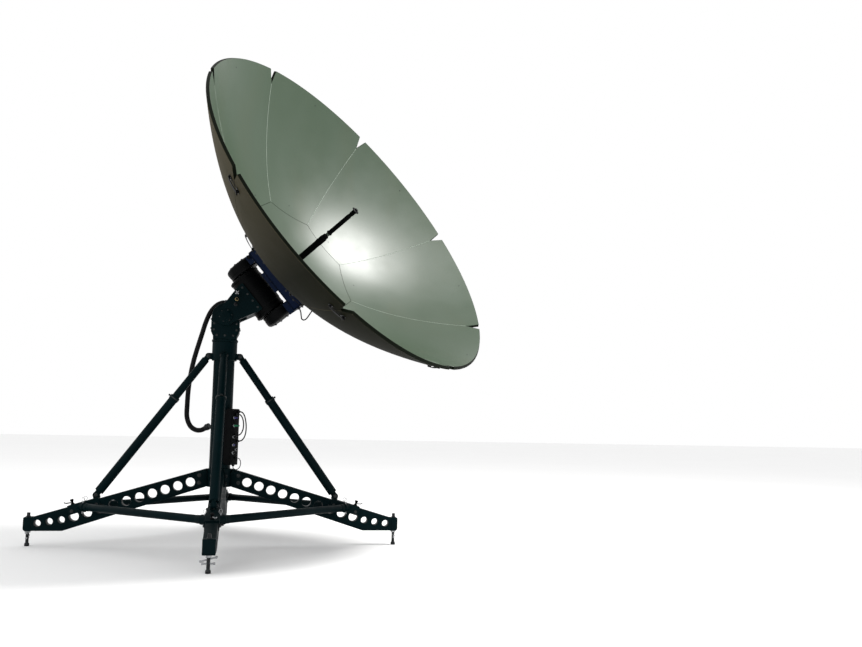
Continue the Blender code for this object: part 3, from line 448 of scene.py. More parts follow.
teal = make_paint("teal_enamel", (0.0004, 0.0050, 0.0062), (0.0008, 0.0080, 0.0098),
                  (0.006, 0.011, 0.011), 0.42, 0.035, (0.018, 0.026, 0.025))
blue = make_paint("blue_enamel", (0.0012, 0.0046, 0.017), (0.0020, 0.0072, 0.026),
                  (0.009, 0.013, 0.020), 0.44, 0.05, (0.020, 0.028, 0.038))
black = make_paint("black_powder_coat", (0.0008, 0.0010, 0.0012), (0.0014, 0.0017, 0.0020),
                   (0.006, 0.006, 0.006), 0.46, 0.05, (0.012, 0.012, 0.012), 420.0)
skin_front = make_dish_skin("dish_face_paint", (0.025, 0.048, 0.022), (0.034, 0.059, 0.034),
                            (0.034, 0.046, 0.016), 0.33, 0.5)
# the back's dark dirt colour also gives the painted shade on its downward faces
skin_back = make_dish_skin("dish_back_paint", (0.062, 0.054, 0.033), (0.080, 0.070, 0.044),
                           (0.010, 0.013, 0.004), 0.66, 0.03, True)
skin_rim = make_paint("dish_rim_paint", (0.0022, 0.0036, 0.0015), (0.0036, 0.0056, 0.0026),
                      (0.008, 0.010, 0.006), 0.50, 0.04, (0.020, 0.024, 0.014))
zinc = make_metal("zinc_plate", (0.36, 0.37, 0.38), (0.20, 0.205, 0.215), 0.34)
dull_bolt = make_metal("dull_bolt", (0.042, 0.046, 0.047), (0.020, 0.022, 0.023), 0.46)
dark_steel = make_metal("dark_steel", (0.036, 0.038, 0.040), (0.016, 0.017, 0.018), 0.38)
brass = make_metal("connector_brass", (0.30, 0.23, 0.11), (0.14, 0.10, 0.05), 0.40)
sheath = make_rubber("cable_sheath", (0.0040, 0.0040, 0.0045), (0.010, 0.010, 0.0105), 0.45)
# pale paint of the seam lines: a painted highlight where the petals' edges catch the light
seam_glint = make_rubber("seam_glint_paint", (0.30, 0.35, 0.30), (0.40, 0.45, 0.40), 0.62)
green_cap = make_rubber("green_cap", (0.012, 0.100, 0.048), (0.020, 0.140, 0.070), 0.45)
violet_cap = make_rubber("violet_cap", (0.030, 0.026, 0.120), (0.045, 0.040, 0.160), 0.45)


# Solids, each drawn in its own frame
def finish(shape):
    bmesh.ops.recalc_face_normals(shape, faces=shape.faces[:])
    mesh = bpy.data.meshes.new("solid")
    shape.to_mesh(mesh)
    shape.free()
    return mesh


def rounded(profile, radius, steps=3, closed=False):
    """Round the corners of a line of points in the plane."""
    points = [Vector(point) for point in profile]
    count = len(points)
    result = []
    for i, corner in enumerate(points):
        if not closed and i in (0, count - 1):
            result.append(tuple(corner))
            continue
        before = points[i - 1] - corner
        after = points[(i + 1) % count] - corner
        if before.length < 0.000001 or after.length < 0.000001:
            continue
        reach = min(radius, before.length * 0.45, after.length * 0.45)
        start = corner + before.normalized() * reach
        end = corner + after.normalized() * reach
        if before.angle(after) > 2.8:
            result.append(tuple(corner))
            continue
        for k in range(steps + 1):
            t = k / steps
            result.append(tuple(start * (1 - t) ** 2 + corner * 2 * t * (1 - t) + end * t * t))
    return result


def lathe(profile, steps=48, closed=False):
    """A solid turned about Z, from (radius, height) points."""
    shape = bmesh.new()
    rings = []
    for radius, height in profile:
        if radius < 0.000001:
            rings.append([shape.verts.new((0.0, 0.0, height))])
            continue
        ring = []
        for k in range(steps):
            angle = 2 * math.pi * k / steps
            ring.append(shape.verts.new((radius * math.cos(angle), radius * math.sin(angle), height)))
        rings.append(ring)
    pairs = list(zip(rings, rings[1:]))
    if closed:
        pairs.append((rings[-1], rings[0]))
    for first, second in pairs:
        for k in range(steps):
            following = (k + 1) % steps
            corners = [first[k % len(first)], first[following % len(first)],
                       second[following % len(second)], second[k % len(second)]]
            corners = list(dict.fromkeys(corners))
            if len(corners) > 2:
                shape.faces.new(corners)
    return finish(shape)


def rod(radius, low, high, steps=32, edge=0.0015):
    """A round bar along Z with broken edges."""
    profile = [(0.0, high), (radius, high), (radius, low), (0.0, low)]
    return lathe(rounded(profile, edge, 2), steps)


def pipe(outer, inner, low, high, steps=48, edge=0.001):
    profile = [(outer, high), (outer, low), (inner, low), (inner, high)]
    return lathe(rounded(profile, edge, 1, closed=True), steps, closed=True)


def box(size, centre=(0, 0, 0), edge=0.0015, turn=None):
    """A box with rounded edges."""
    shape = bmesh.new()
    bmesh.ops.create_cube(shape, size=1.0, matrix=Matrix.Diagonal((*size, 1.0)))
    bmesh.ops.bevel(shape, geom=shape.edges[:], offset=edge, segments=2, profile=0.6,
                    affect="EDGES")
    matrix = MOVE(centre)
    if turn is not None:
        matrix = matrix @ turn
    bmesh.ops.transform(shape, matrix=matrix, verts=shape.verts[:])
    return finish(shape)


def mesh_from_curve(curve, weld=True):
    holder = bpy.data.objects.new("drawing", curve)
    bpy.context.scene.collection.objects.link(holder)
    bpy.context.view_layer.update()
    graph = bpy.context.evaluated_depsgraph_get()
    mesh = bpy.data.meshes.new_from_object(holder.evaluated_get(graph))
    bpy.data.objects.remove(holder, do_unlink=True)
    bpy.data.curves.remove(curve)
    mesh.materials.clear()
    shape = bmesh.new()
    shape.from_mesh(mesh)
    bpy.data.meshes.remove(mesh)
    if weld:
        bmesh.ops.remove_doubles(shape, verts=shape.verts[:], dist=0.00001)
    return finish(shape)


def plate(outline, thickness, holes=(), edge=0.002):
    """A flat outline in XY with holes, centred on its thickness, with broken edges."""
    curve = bpy.data.curves.new("outline", "CURVE")
    curve.dimensions = "2D"
    curve.fill_mode = "BOTH"
    curve.extrude = thickness / 2 - edge
    curve.bevel_depth = edge
    curve.bevel_resolution = 1
    curve.offset = -edge
    for loop in (outline, *holes):
        spline = curve.splines.new("POLY")
        spline.points.add(len(loop) - 1)
        for point, (x, y) in zip(spline.points, loop):
            point.co = (x, y, 0.0, 1.0)
        spline.use_cyclic_u = True
    return mesh_from_curve(curve)


def arc(centre, radius, start, end, steps):
    """Points of an arc in the plane, angles in degrees."""
    points = []
    for i in range(steps + 1):
        angle = math.radians(start + (end - start) * i / steps)
        points.append((centre[0] + radius * math.cos(angle), centre[1] + radius * math.sin(angle)))
    return points


def hole(centre, radius, steps=32):
    """A hole's outline, which runs the other way round than a plate's."""
    return arc(centre, radius, 360.0, 360.0 / steps, steps - 1)


def wire(points, radius, sides=3):
    """A round wire through points, with closed ends."""
    curve = bpy.data.curves.new("wire", "CURVE")
    curve.dimensions = "3D"
    curve.bevel_depth = radius
    curve.bevel_resolution = sides
    curve.use_fill_caps = True
    spline = curve.splines.new("POLY")
    spline.points.add(len(points) - 1)
    for point, place in zip(spline.points, points):
        point.co = (*place, 1.0)
    return mesh_from_curve(curve)


def carved(solid, cutters, edge):
    """A solid with other solids taken out of it, and its edges broken."""
    holders = []
    for mesh in (solid, *cutters):
        holder = bpy.data.objects.new("carving", mesh)
        bpy.context.scene.collection.objects.link(holder)
        holders.append(holder)
    body = holders[0]
    for cutter in holders[1:]:
        cut = body.modifiers.new("cut", "BOOLEAN")
        cut.operation = "DIFFERENCE"
        cut.solver = "EXACT"
        cut.object = cutter
    soft = body.modifiers.new("soft", "BEVEL")
    soft.width = edge
    soft.segments = 2
    soft.limit_method = "ANGLE"
    soft.angle_limit = math.radians(40)
    bpy.context.view_layer.update()
    graph = bpy.context.evaluated_depsgraph_get()
    result = bpy.data.meshes.new_from_object(body.evaluated_get(graph))
    for holder in holders:
        mesh = holder.data
        bpy.data.objects.remove(holder, do_unlink=True)
        bpy.data.meshes.remove(mesh)
    result.materials.clear()
    return result


def smooth_route(route, count):
    """Points of one smooth curve through a route, spread evenly in number."""
    points = [Vector(point) for point in route]
    padded = [2 * points[0] - points[1]] + points + [2 * points[-1] - points[-2]]
    spans = len(points) - 1
    result = []
    for i in range(count):
        position = spans * i / (count - 1)
        span = min(int(position), spans - 1)
        t = position - span
        before, start, end, after = padded[span:span + 4]
        result.append(0.5 * (
            2 * start + (end - before) * t + (2 * before - 5 * start + 4 * end - after) * t * t
            + (3 * start - before - 3 * end + after) * t * t * t))
    return result


def bolt(size, washer=True):
    """A hexagon head on a washer, standing on the plane z = 0; size is across corners."""
    radius = size / 2
    base = radius * 0.25 if washer else 0.0
    head = lathe([(0.0, base + radius * 0.75), (radius * 0.82, base + radius * 0.75),
                  (radius, base + radius * 0.62), (radius, base), (0.0, base)], 6)
    if not washer:
        return [head]
    return [head, rod(radius * 1.35, -0.0002, base, 20, radius * 0.1)]


class Piece:
    """Solids that are joined to one piece of the model."""

    def __init__(self, name, body, slot, replaces=()):
        self.name = name
        self.body = body
        self.slot = slot
        self.replaces = replaces
        self.shape = bmesh.new()
        self.materials = []

    def add(self, mesh, matrix, material):
        """Add a solid, carried to its place by a matrix."""
        if material not in self.materials:
            self.materials.append(material)
        mesh.transform(matrix)
        index = self.materials.index(material)
        for polygon in mesh.polygons:
            polygon.material_index = index
        self.shape.from_mesh(mesh)
        bpy.data.meshes.remove(mesh)

    def bolts(self, size, places, material=None, washer=True):
        """Add a bolt at each matrix, its head along the matrix's Z."""
        for matrix in places:
            for solid in bolt(size, washer):
                self.add(solid, matrix, material or dull_bolt)

    def close(self, sharp=25.0):
        mesh = bpy.data.meshes.new(self.name)
        self.shape.to_mesh(mesh)
        self.shape.free()
        for material in self.materials:
            mesh.materials.append(material)
        mesh.shade_smooth()
        mesh.set_sharp_from_angle(angle=math.radians(sharp))
        piece = bpy.data.objects.new(self.name, mesh)
        bpy.context.scene.collection.objects.link(piece)
        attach(piece, self.body)
        if self.replaces:
            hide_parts(*self.replaces)
        return piece


def ring_of(count, radius, height=0.0, start=0.0, inward=False):
    """Matrices round a circle about Z, each with its Z along +Z, or towards the axis."""
    places = []
    for k in range(count):
        turn = TURN(start + 2 * math.pi * k / count, 4, "Z") @ MOVE((radius, 0, height))
        places.append(turn @ TURN(-math.pi / 2, 4, "Y") if inward else turn)
    return places


def leg_frame(side):
    return STAND @ TURN(math.radians(LEG_ANGLES[side]), 4, "Z")


def leg_top(reach):
    return LEG_TOP_START - LEG_TOP_SLOPE * (reach - LEG_START)


def leg_underside(reach):
    if reach >= LEG_KNEE:
        return LEG_BOTTOM
    share = (reach - LEG_START) / (LEG_KNEE - LEG_START)
    return COLUMN_BOTTOM + (LEG_BOTTOM - COLUMN_BOTTOM) * share


# Stand
def make_column():
    piece = Piece("column_tube", "stand", "teal_paint", ("column",))
    flange = COLUMN_TOP - COLUMN_FLANGE
    inner = COLUMN_RADIUS - 0.008
    profile = [(COLUMN_FLANGE_RADIUS, COLUMN_TOP), (COLUMN_FLANGE_RADIUS, flange),
               (COLUMN_RADIUS, flange), (COLUMN_RADIUS, COLUMN_BOTTOM), (inner, COLUMN_BOTTOM),
               (inner, COLUMN_TOP)]
    piece.add(lathe(rounded(profile, 0.0015, 2, closed=True), 72, closed=True), STAND, teal)
    piece.close()


def make_collar(name, node_name, low, high):
    """A welded ring round the column, ready for its lugs."""
    piece = Piece(name, "stand", "teal_paint", (node_name,))
    piece.add(pipe(COLLAR_RADIUS, COLUMN_RADIUS + GAP, low, high, 72, 0.002), STAND, teal)
    return piece


def make_base_hub():
    low, high = COLUMN_BOTTOM, LEG_TOP_START
    piece = make_collar("base_hub_weldment", "base_hub", low, high)
    lug_low, lug_high = low + 0.002, high - 0.016
    outline = [(0.072, lug_low), (0.142, lug_low), (0.142, lug_high), (0.072, lug_high)]
    for side in LEG_ANGLES:
        turn = leg_frame(side) @ UPRIGHT
        for sign in (-1, 1):
            offset = sign * (LEG_WIDTH / 2 + GAP + 0.004)
            solid = plate(rounded(outline, 0.014, 4, closed=True), 0.008, edge=0.0012)
            piece.add(solid, turn @ MOVE((0, 0, offset)), teal)
            outward = turn @ MOVE((0, 0, offset + sign * 0.004))
            if sign < 0:
                outward = outward @ TURN(math.pi, 4, "X")
            for height in (low + 0.026, high - 0.042):
                place = outward @ MOVE((0.122, height if sign > 0 else -height, 0))
                piece.bolts(0.019, [place])
    piece.close()


def make_brace_crown():
    high = COLUMN_TOP - COLUMN_FLANGE - GAP
    piece = make_collar("brace_crown_weldment", "brace_crown", high - CROWN_HEIGHT, high)
    for side in LEG_ANGLES:
        turn = leg_frame(side)
        for sign in (-1, 1):
            offset = sign * (TONGUE_THICKNESS / 2 + GAP + PIN_LUG_THICKNESS / 2)
            outline = [(-0.032, -PIN_LUG_RADIUS)] + arc((0, 0), PIN_LUG_RADIUS, -90, 90, 14)
            outline.append((-0.032, PIN_LUG_RADIUS))
            place = turn @ MOVE((BRACE_TOP_REACH, offset, BRACE_TOP_HEIGHT)) @ UPRIGHT
            piece.add(plate(outline, PIN_LUG_THICKNESS, edge=0.001), place, teal)
            facing = place @ MOVE((0, 0, -sign * PIN_LUG_THICKNESS / 2))
            if sign > 0:
                facing = facing @ TURN(math.pi, 4, "X")
            piece.bolts(0.018, [facing])
    piece.close()


def make_outrigger(side):
    """A leg: a thick tapering plate with round holes."""
    piece = Piece(f"leg_{side}", "stand", "teal_paint", (f"outrigger_{side}",))
    outline = [(LEG_START, leg_top(LEG_START)), (LEG_START, COLUMN_BOTTOM),
               (LEG_KNEE, LEG_BOTTOM), (LEG_END, LEG_BOTTOM), (LEG_END, leg_top(LEG_END))]
    holes = []
    for i in range(LARGE_HOLES):
        reach = LARGE_HOLE_START + LARGE_HOLE_PITCH * i
        middle = (leg_top(reach) + leg_underside(reach)) / 2
        holes.append(hole((reach, middle), LARGE_HOLE_RADIUS, 40))
    for i in range(SMALL_HOLES):
        reach = SMALL_HOLE_END - SMALL_HOLE_PITCH * i
        middle = (leg_top(reach) + leg_underside(reach)) / 2
        holes.append(hole((reach, middle), SMALL_HOLE_RADIUS, 36))
    piece.add(plate(outline, LEG_WIDTH, holes, 0.0025), leg_frame(side) @ UPRIGHT, teal)
    piece.close()


def threaded_rod(radius, low, high, pitch=0.005):
    """A screw: its thread is drawn as close ridges."""
    profile = [(0.0, low)]
    count = int((high - low) / pitch)
    for i in range(count):
        base = low + i * pitch
        profile += [(radius * 0.88, base), (radius, base + pitch * 0.5)]
    profile += [(radius * 0.88, high), (0.0, high)]
    return lathe(profile, 28)


def make_jack(side):
    """The block on a leg's end, with its levelling screw, turning bars and foot."""
    piece = Piece(f"levelling_jack_{side}", "stand", "teal_paint", (f"jack_{side}",))
    turn = leg_frame(side)
    low, high = LEG_BOTTOM - 0.002, leg_top(LEG_END) + 0.001
    start = LEG_END + GAP
    end = start + JACK_BLOCK_LENGTH
    outline = [(start, high), (start, low)]
    outline += arc((end - 0.018, low + 0.018), 0.018, -90, 0, 6)
    outline += arc((end - 0.008, high - 0.008), 0.008, 0, 90, 4)
    piece.add(plate(outline, LEG_WIDTH, edge=0.003), turn @ UPRIGHT, teal)
    screw = turn @ MOVE((JACK_POSITION, 0, 0))
    piece.add(threaded_rod(0.0105, 0.016, low + 0.002), screw, dark_steel)
    cap = [(0.0, JACK_TOP), (0.0105, JACK_TOP), (0.0105, high + 0.006), (0.014, high + 0.005),
           (0.014, high - 0.001), (0.0, high - 0.001)]
    piece.add(lathe(rounded(cap, 0.002, 2), 24), screw, dark_steel)
    foot = [(0.0, 0.020), (0.012, 0.020), (0.015, 0.012), (0.015, 0.0), (0.0, 0.0)]
    piece.add(lathe(rounded(foot, 0.0015, 2), 28), screw, dark_steel)
    nut = [(0.0, low + 0.001), (0.017, low + 0.001), (0.017, low - 0.011), (0.0, low - 0.011)]
    piece.add(lathe(rounded(nut, 0.001, 1), 6), screw, zinc)
    for height, tilt, length in ((0.050, 0.0, 0.060), (low - 0.020, 14.0, 0.084)):
        across = screw @ MOVE((0, 0, height)) @ TURN(math.radians(90 + tilt), 4, "X")
        piece.add(rod(0.0045, -length / 2, length / 2, 16), across, zinc)
        for sign in (-1, 1):
            knob = rod(0.0062, -0.006, 0.006, 16, 0.003)
            piece.add(knob, across @ MOVE((0, 0, sign * length / 2)), zinc)
    piece.close()


def make_ring_clamp(side):
    """The saddle on a leg, with its tube sockets, pins and the brace's foot lugs."""
    piece = Piece(f"tube_clamp_{side}", "stand", "teal_paint", (f"ring_clamp_{side}",))
    turn = leg_frame(side)
    tilt = TURN(math.atan(LEG_TOP_SLOPE), 4, "Y")
    half = LEG_WIDTH / 2 + GAP
    outer = half + CLAMP_CHEEK
    middle = (CLAMP_INNER + CLAMP_OUTER) / 2
    seat = turn @ MOVE((middle, 0, leg_top(middle))) @ tilt
    length = CLAMP_OUTER - CLAMP_INNER
    section = [(-outer, -CLAMP_DEPTH), (-half, -CLAMP_DEPTH), (-half, GAP), (half, GAP),
               (half, -CLAMP_DEPTH), (outer, -CLAMP_DEPTH), (outer, CLAMP_TOP),
               (-outer, CLAMP_TOP)]
    piece.add(plate(section, length, edge=0.0012), seat @ ALONG_X, teal)
    places = []
    for sign in (-1, 1):
        for along in (-0.075, 0.075):
            side_face = MOVE((along, sign * outer, -0.030)) @ TURN(-sign * math.pi / 2, 4, "X")
            places.append(seat @ side_face)
    piece.bolts(0.016, places)
    centre = turn @ MOVE((RING_RADIUS, 0, RING_TUBE_HEIGHT))
    for sign in (-1, 1):
        socket = centre @ TURN(sign * math.radians(135), 4, "Z") @ TURN(math.pi / 2, 4, "Y")
        radius = RING_TUBE_RADIUS + 0.003
        profile = [(0.0, 0.030), (radius, 0.030), (radius, RING_TUBE_SETBACK - 0.012),
                   (radius + 0.0025, RING_TUBE_SETBACK - 0.010),
                   (radius + 0.0025, RING_TUBE_SETBACK), (0.0, RING_TUBE_SETBACK)]
        piece.add(lathe(rounded(profile, 0.001, 2), 32), socket, teal)
        pin = socket @ MOVE((0, 0, RING_TUBE_SETBACK - 0.024)) @ TURN(math.pi / 2, 4, "Y")
        piece.add(rod(0.0040, -0.034, 0.036, 12), pin, zinc)
        piece.add(rod(0.0075, 0.034, 0.040, 16), pin, zinc)
        loop = [Vector((0.013 * math.sin(a), 0, -0.034 - 0.013 + 0.013 * math.cos(a)))
                for a in [math.radians(15 + 33 * k) for k in range(11)]]
        piece.add(wire(loop, 0.0014, 1), pin, zinc)
    for sign in (-1, 1):
        offset = sign * (TONGUE_THICKNESS / 2 + GAP + PIN_LUG_THICKNESS / 2)
        pin_height = leg_top(BRACE_FOOT_REACH) + BRACE_FOOT_LIFT
        place = turn @ MOVE((BRACE_FOOT_REACH, offset, pin_height)) @ tilt @ UPRIGHT
        outline = arc((0, 0), PIN_LUG_RADIUS, 0, 180, 14)
        outline += [(-PIN_LUG_RADIUS, -0.022), (PIN_LUG_RADIUS, -0.022)]
        piece.add(plate(outline, PIN_LUG_THICKNESS, edge=0.001), place, teal)
        facing = place @ MOVE((0, 0, -sign * PIN_LUG_THICKNESS / 2))
        if sign > 0:
            facing = facing @ TURN(math.pi, 4, "X")
        piece.bolts(0.018, [facing])
    knob = seat @ MOVE((0.066, 0, CLAMP_TOP))
    stem = [(0.0, 0.034), (0.010, 0.033), (0.012, 0.026), (0.008, 0.020), (0.006, 0.010),
            (0.012, 0.006), (0.012, -0.0002), (0.0, -0.0002)]
    piece.add(lathe(rounded(stem, 0.002, 2), 24), knob, black)
    lever = [Vector((0.0, 0.0, 0.012)), Vector((0.012, 0.008, 0.014)),
             Vector((0.034, 0.020, 0.018)), Vector((0.044, 0.025, 0.026))]
    piece.add(wire(smooth_route(lever, 12), 0.0038, 2), knob, zinc)
    piece.close()


def make_ring_tube(first, second):
    name = f"ring_tube_{first}_{second}"
    piece = Piece(f"{name}_finish", "stand", "teal_paint", (name,))
    ends = []
    for side in (first, second):
        angle = math.radians(LEG_ANGLES[side])
        ends.append(Vector((RING_RADIUS * math.cos(angle), RING_RADIUS * math.sin(angle),
                            RING_TUBE_HEIGHT)))
    along = ends[1] - ends[0]
    setback = RING_TUBE_SETBACK + GAP
    length = along.length - 2 * setback
    start = ends[0] + along.normalized() * setback
    turn = along.to_track_quat("Z", "Y").to_matrix().to_4x4()
    place = STAND @ MOVE(start) @ turn
    piece.add(rod(RING_TUBE_RADIUS, 0.0, length, 48, 0.002), place, teal)
    for height in (0.020, length - 0.020):
        piece.add(pipe(RING_TUBE_RADIUS + 0.0015, RING_TUBE_RADIUS - 0.001, height - 0.014,
                       height + 0.014, 48, 0.0006), place, teal)
    piece.close()


def brace_line():
    """Ends of a brace's axis in a leg's plane, and its direction downwards."""
    top = Vector((BRACE_TOP_REACH, 0.0, BRACE_TOP_HEIGHT))
    foot = Vector((BRACE_FOOT_REACH, 0.0, leg_top(BRACE_FOOT_REACH) + BRACE_FOOT_LIFT))
    return top, foot, (foot - top).normalized()


def tongue():
    """The flat end of a brace, round about its pin."""
    outline = [(TONGUE_HALF_HEIGHT, TONGUE_LENGTH)]
    outline += arc((0, 0), TONGUE_HALF_HEIGHT, 0, -180, 16)
    outline += [(-TONGUE_HALF_HEIGHT, TONGUE_LENGTH)]
    outline.reverse()
    return plate(outline, TONGUE_THICKNESS, edge=0.0015)


def make_brace(side):
    """Two tubes of a brace, with the clamp ring where the upper slides in the lower."""
    top, foot, down = brace_line()
    length = (foot - top).length
    joint = length * BRACE_JOINT
    turn = leg_frame(side)
    upper_place = turn @ MOVE(top) @ TURN(math.atan2(down.x, down.z), 4, "Y")
    upper = Piece(f"brace_tube_upper_{side}", "stand", "teal_paint", (f"brace_upper_{side}",))
    upper.add(rod(BRACE_UPPER_RADIUS, TUBE_START, joint + BRACE_OVERLAP, 48, 0.003),
              upper_place, teal)
    upper.add(tongue(), upper_place @ UPRIGHT, teal)
    upper.close()

    lower_place = turn @ MOVE(foot) @ TURN(math.atan2(-down.x, -down.z), 4, "Y")
    lower = Piece(f"brace_tube_lower_{side}", "stand", "teal_paint", (f"brace_lower_{side}",))
    start = length - joint
    bore = BRACE_UPPER_RADIUS + GAP
    collar = BRACE_LOWER_RADIUS + 0.003
    profile = [(0.0, TUBE_START), (BRACE_LOWER_RADIUS, TUBE_START),
               (BRACE_LOWER_RADIUS, start - 0.030), (collar, start - 0.028), (collar, start),
               (bore, start), (bore, start - BRACE_OVERLAP - GAP),
               (0.0, start - BRACE_OVERLAP - GAP)]
    lower.add(lathe(rounded(profile, 0.0015, 2), 48), lower_place, teal)
    lower.add(tongue(), lower_place @ UPRIGHT, teal)
    lower.add(pipe(collar + 0.0012, collar - 0.0005, start - 0.018, start - 0.010, 48, 0.0004),
              lower_place, dull_bolt)
    ear = MOVE((collar + 0.004, 0, start - 0.014))
    lower.add(box((0.010, 0.010, 0.010), edge=0.001), lower_place @ ear, dull_bolt)
    screw = lower_place @ ear @ MOVE((0.002, 0.005, 0)) @ TURN(-math.pi / 2, 4, "X")
    lower.bolts(0.010, [screw])
    lower.close()


def make_head_block():
    piece = Piece("head_casting", "stand", "teal_paint", ("head_block",))
    bottom = COLUMN_TOP + GAP
    foot = HEAD_FOOT_HALF_WIDTH
    foot_top = bottom + HEAD_FOOT_HEIGHT
    shoulder = bottom + HEAD_SHOULDER_HEIGHT
    dome_start = X_AXIS_HEIGHT - 0.010
    outline = [(-foot, bottom), (foot, bottom), (foot, foot_top), (HEAD_HALF_WIDTH, shoulder),
               (HEAD_HALF_WIDTH, dome_start)]
    outline += arc((0, X_AXIS_HEIGHT), HEAD_DOME_RADIUS, 8, 172, 28)
    outline += [(-HEAD_HALF_WIDTH, dome_start), (-HEAD_HALF_WIDTH, shoulder), (-foot, foot_top)]
    piece.add(plate(outline, 2 * HEAD_HALF_DEPTH, edge=0.004), STAND @ UPRIGHT, teal)
    axis = STAND @ MOVE((0, 0, X_AXIS_HEIGHT)) @ UPRIGHT
    reach = ARM_CHEEK_OUTER + RUNNING_GAP
    piece.add(rod(0.028, -reach, reach - 0.006, 40), axis, dark_steel)
    front = STAND @ MOVE((0, -HEAD_HALF_DEPTH, 0)) @ UPRIGHT
    places = []
    for x in (-0.072, 0.072):
        for z in (bottom + 0.060, bottom + 0.100):
            places.append(front @ MOVE((x, z, 0)))
    for x in (-0.052, 0.0, 0.052):
        places.append(front @ MOVE((x, bottom + 0.024, 0)))
    piece.bolts(0.011, places)
    for sign in (-1, 1):
        flank = STAND @ MOVE((sign * HEAD_HALF_WIDTH, 0, 0)) @ TURN(sign * math.pi / 2, 4, "Y")
        rows = []
        for y in (-0.055, 0.055):
            for z in (bottom + 0.070, bottom + 0.130):
                rows.append(flank @ MOVE((-sign * z, y, 0)))
        piece.bolts(0.011, rows)
    piece.close()


def make_drive_cover():
    piece = Piece("lower_drive_cover", "stand", "teal_paint", ("x_drive_cover",))
    near = ARM_CHEEK_OUTER + RUNNING_GAP + GAP
    far = near + COVER_THICKNESS
    outline = arc((0, X_AXIS_HEIGHT), COVER_RADIUS, 180, 360, 28)
    outline += [(RISER_BACK, RISER_TOP), (RISER_FACE, RISER_TOP), (RISER_FACE, RISER_BOTTOM),
                (-0.040, 1.520)]
    place = STAND @ MOVE((0, (near + far) / 2, 0)) @ UPRIGHT
    piece.add(plate(outline, far - near, edge=0.004), place, teal)
    rear = STAND @ MOVE((0, far, X_AXIS_HEIGHT)) @ TURN(-math.pi / 2, 4, "X")
    piece.bolts(0.010, [rear @ item for item in ring_of(8, 0.050)])
    piece.add(rod(0.030, -0.001, 0.0, 40, 0.0004), rear, dark_steel)
    piece.close()


def make_conduit():
    """The thick flexible conduit, one free length between its two glands."""
    points = [STAND @ point for point in smooth_route(CONDUIT_ROUTE, 90)]
    piece = Piece("drive_conduit", "stand", "black_rubber", ("conduit",))
    piece.add(wire(points, CONDUIT_RADIUS, 7), Matrix.Identity(4), sheath)
    made = piece.close(60.0)
    ends = ((points[0], points[1], "conduit_gland_upper"),
            (points[-1], points[-2], "conduit_gland_lower"))
    for end, before, node_name in ends:
        gland = Piece(f"{node_name}_fitting", "stand", "black_paint", (node_name,))
        inward = (end - before).normalized()
        turn = MOVE(end) @ inward.to_track_quat("Z", "Y").to_matrix().to_4x4()
        reach = 0.019 if "upper" in node_name else 0.028
        profile = [(0.0165, -0.004), (0.0195, -0.002), (0.0205, 0.004), (0.0205, reach),
                   (0.0, reach), (0.0, 0.001), (0.0165, 0.001)]
        gland.add(lathe(rounded(profile, 0.001, 2, closed=False), 32), turn, dark_steel)
        gland.add(lathe([(0.0, 0.015), (0.0225, 0.015), (0.0225, 0.004), (0.0, 0.004)], 6),
                  turn, dark_steel)
        gland.close()


def add_socket(piece, place, length):
    """A round cable socket along Z, with a knurled ring, ending where its lead starts."""
    radius = LEAD_SOCKET_RADIUS
    profile = [(0.0, length), (radius * 0.72, length), (radius * 0.80, length - 0.0015),
               (radius * 0.80, length * 0.66), (radius, length * 0.62), (radius, length * 0.22),
               (radius * 0.86, length * 0.18), (radius * 0.86, -0.0006), (0.0, -0.0006)]
    piece.add(lathe(rounded(profile, 0.0006, 2), 24), place, dark_steel)
    for turn in ring_of(12, radius * 0.985, length * 0.42):
        piece.add(box((0.0010, 0.0014, length * 0.30), edge=0.0003), place @ turn, dark_steel)


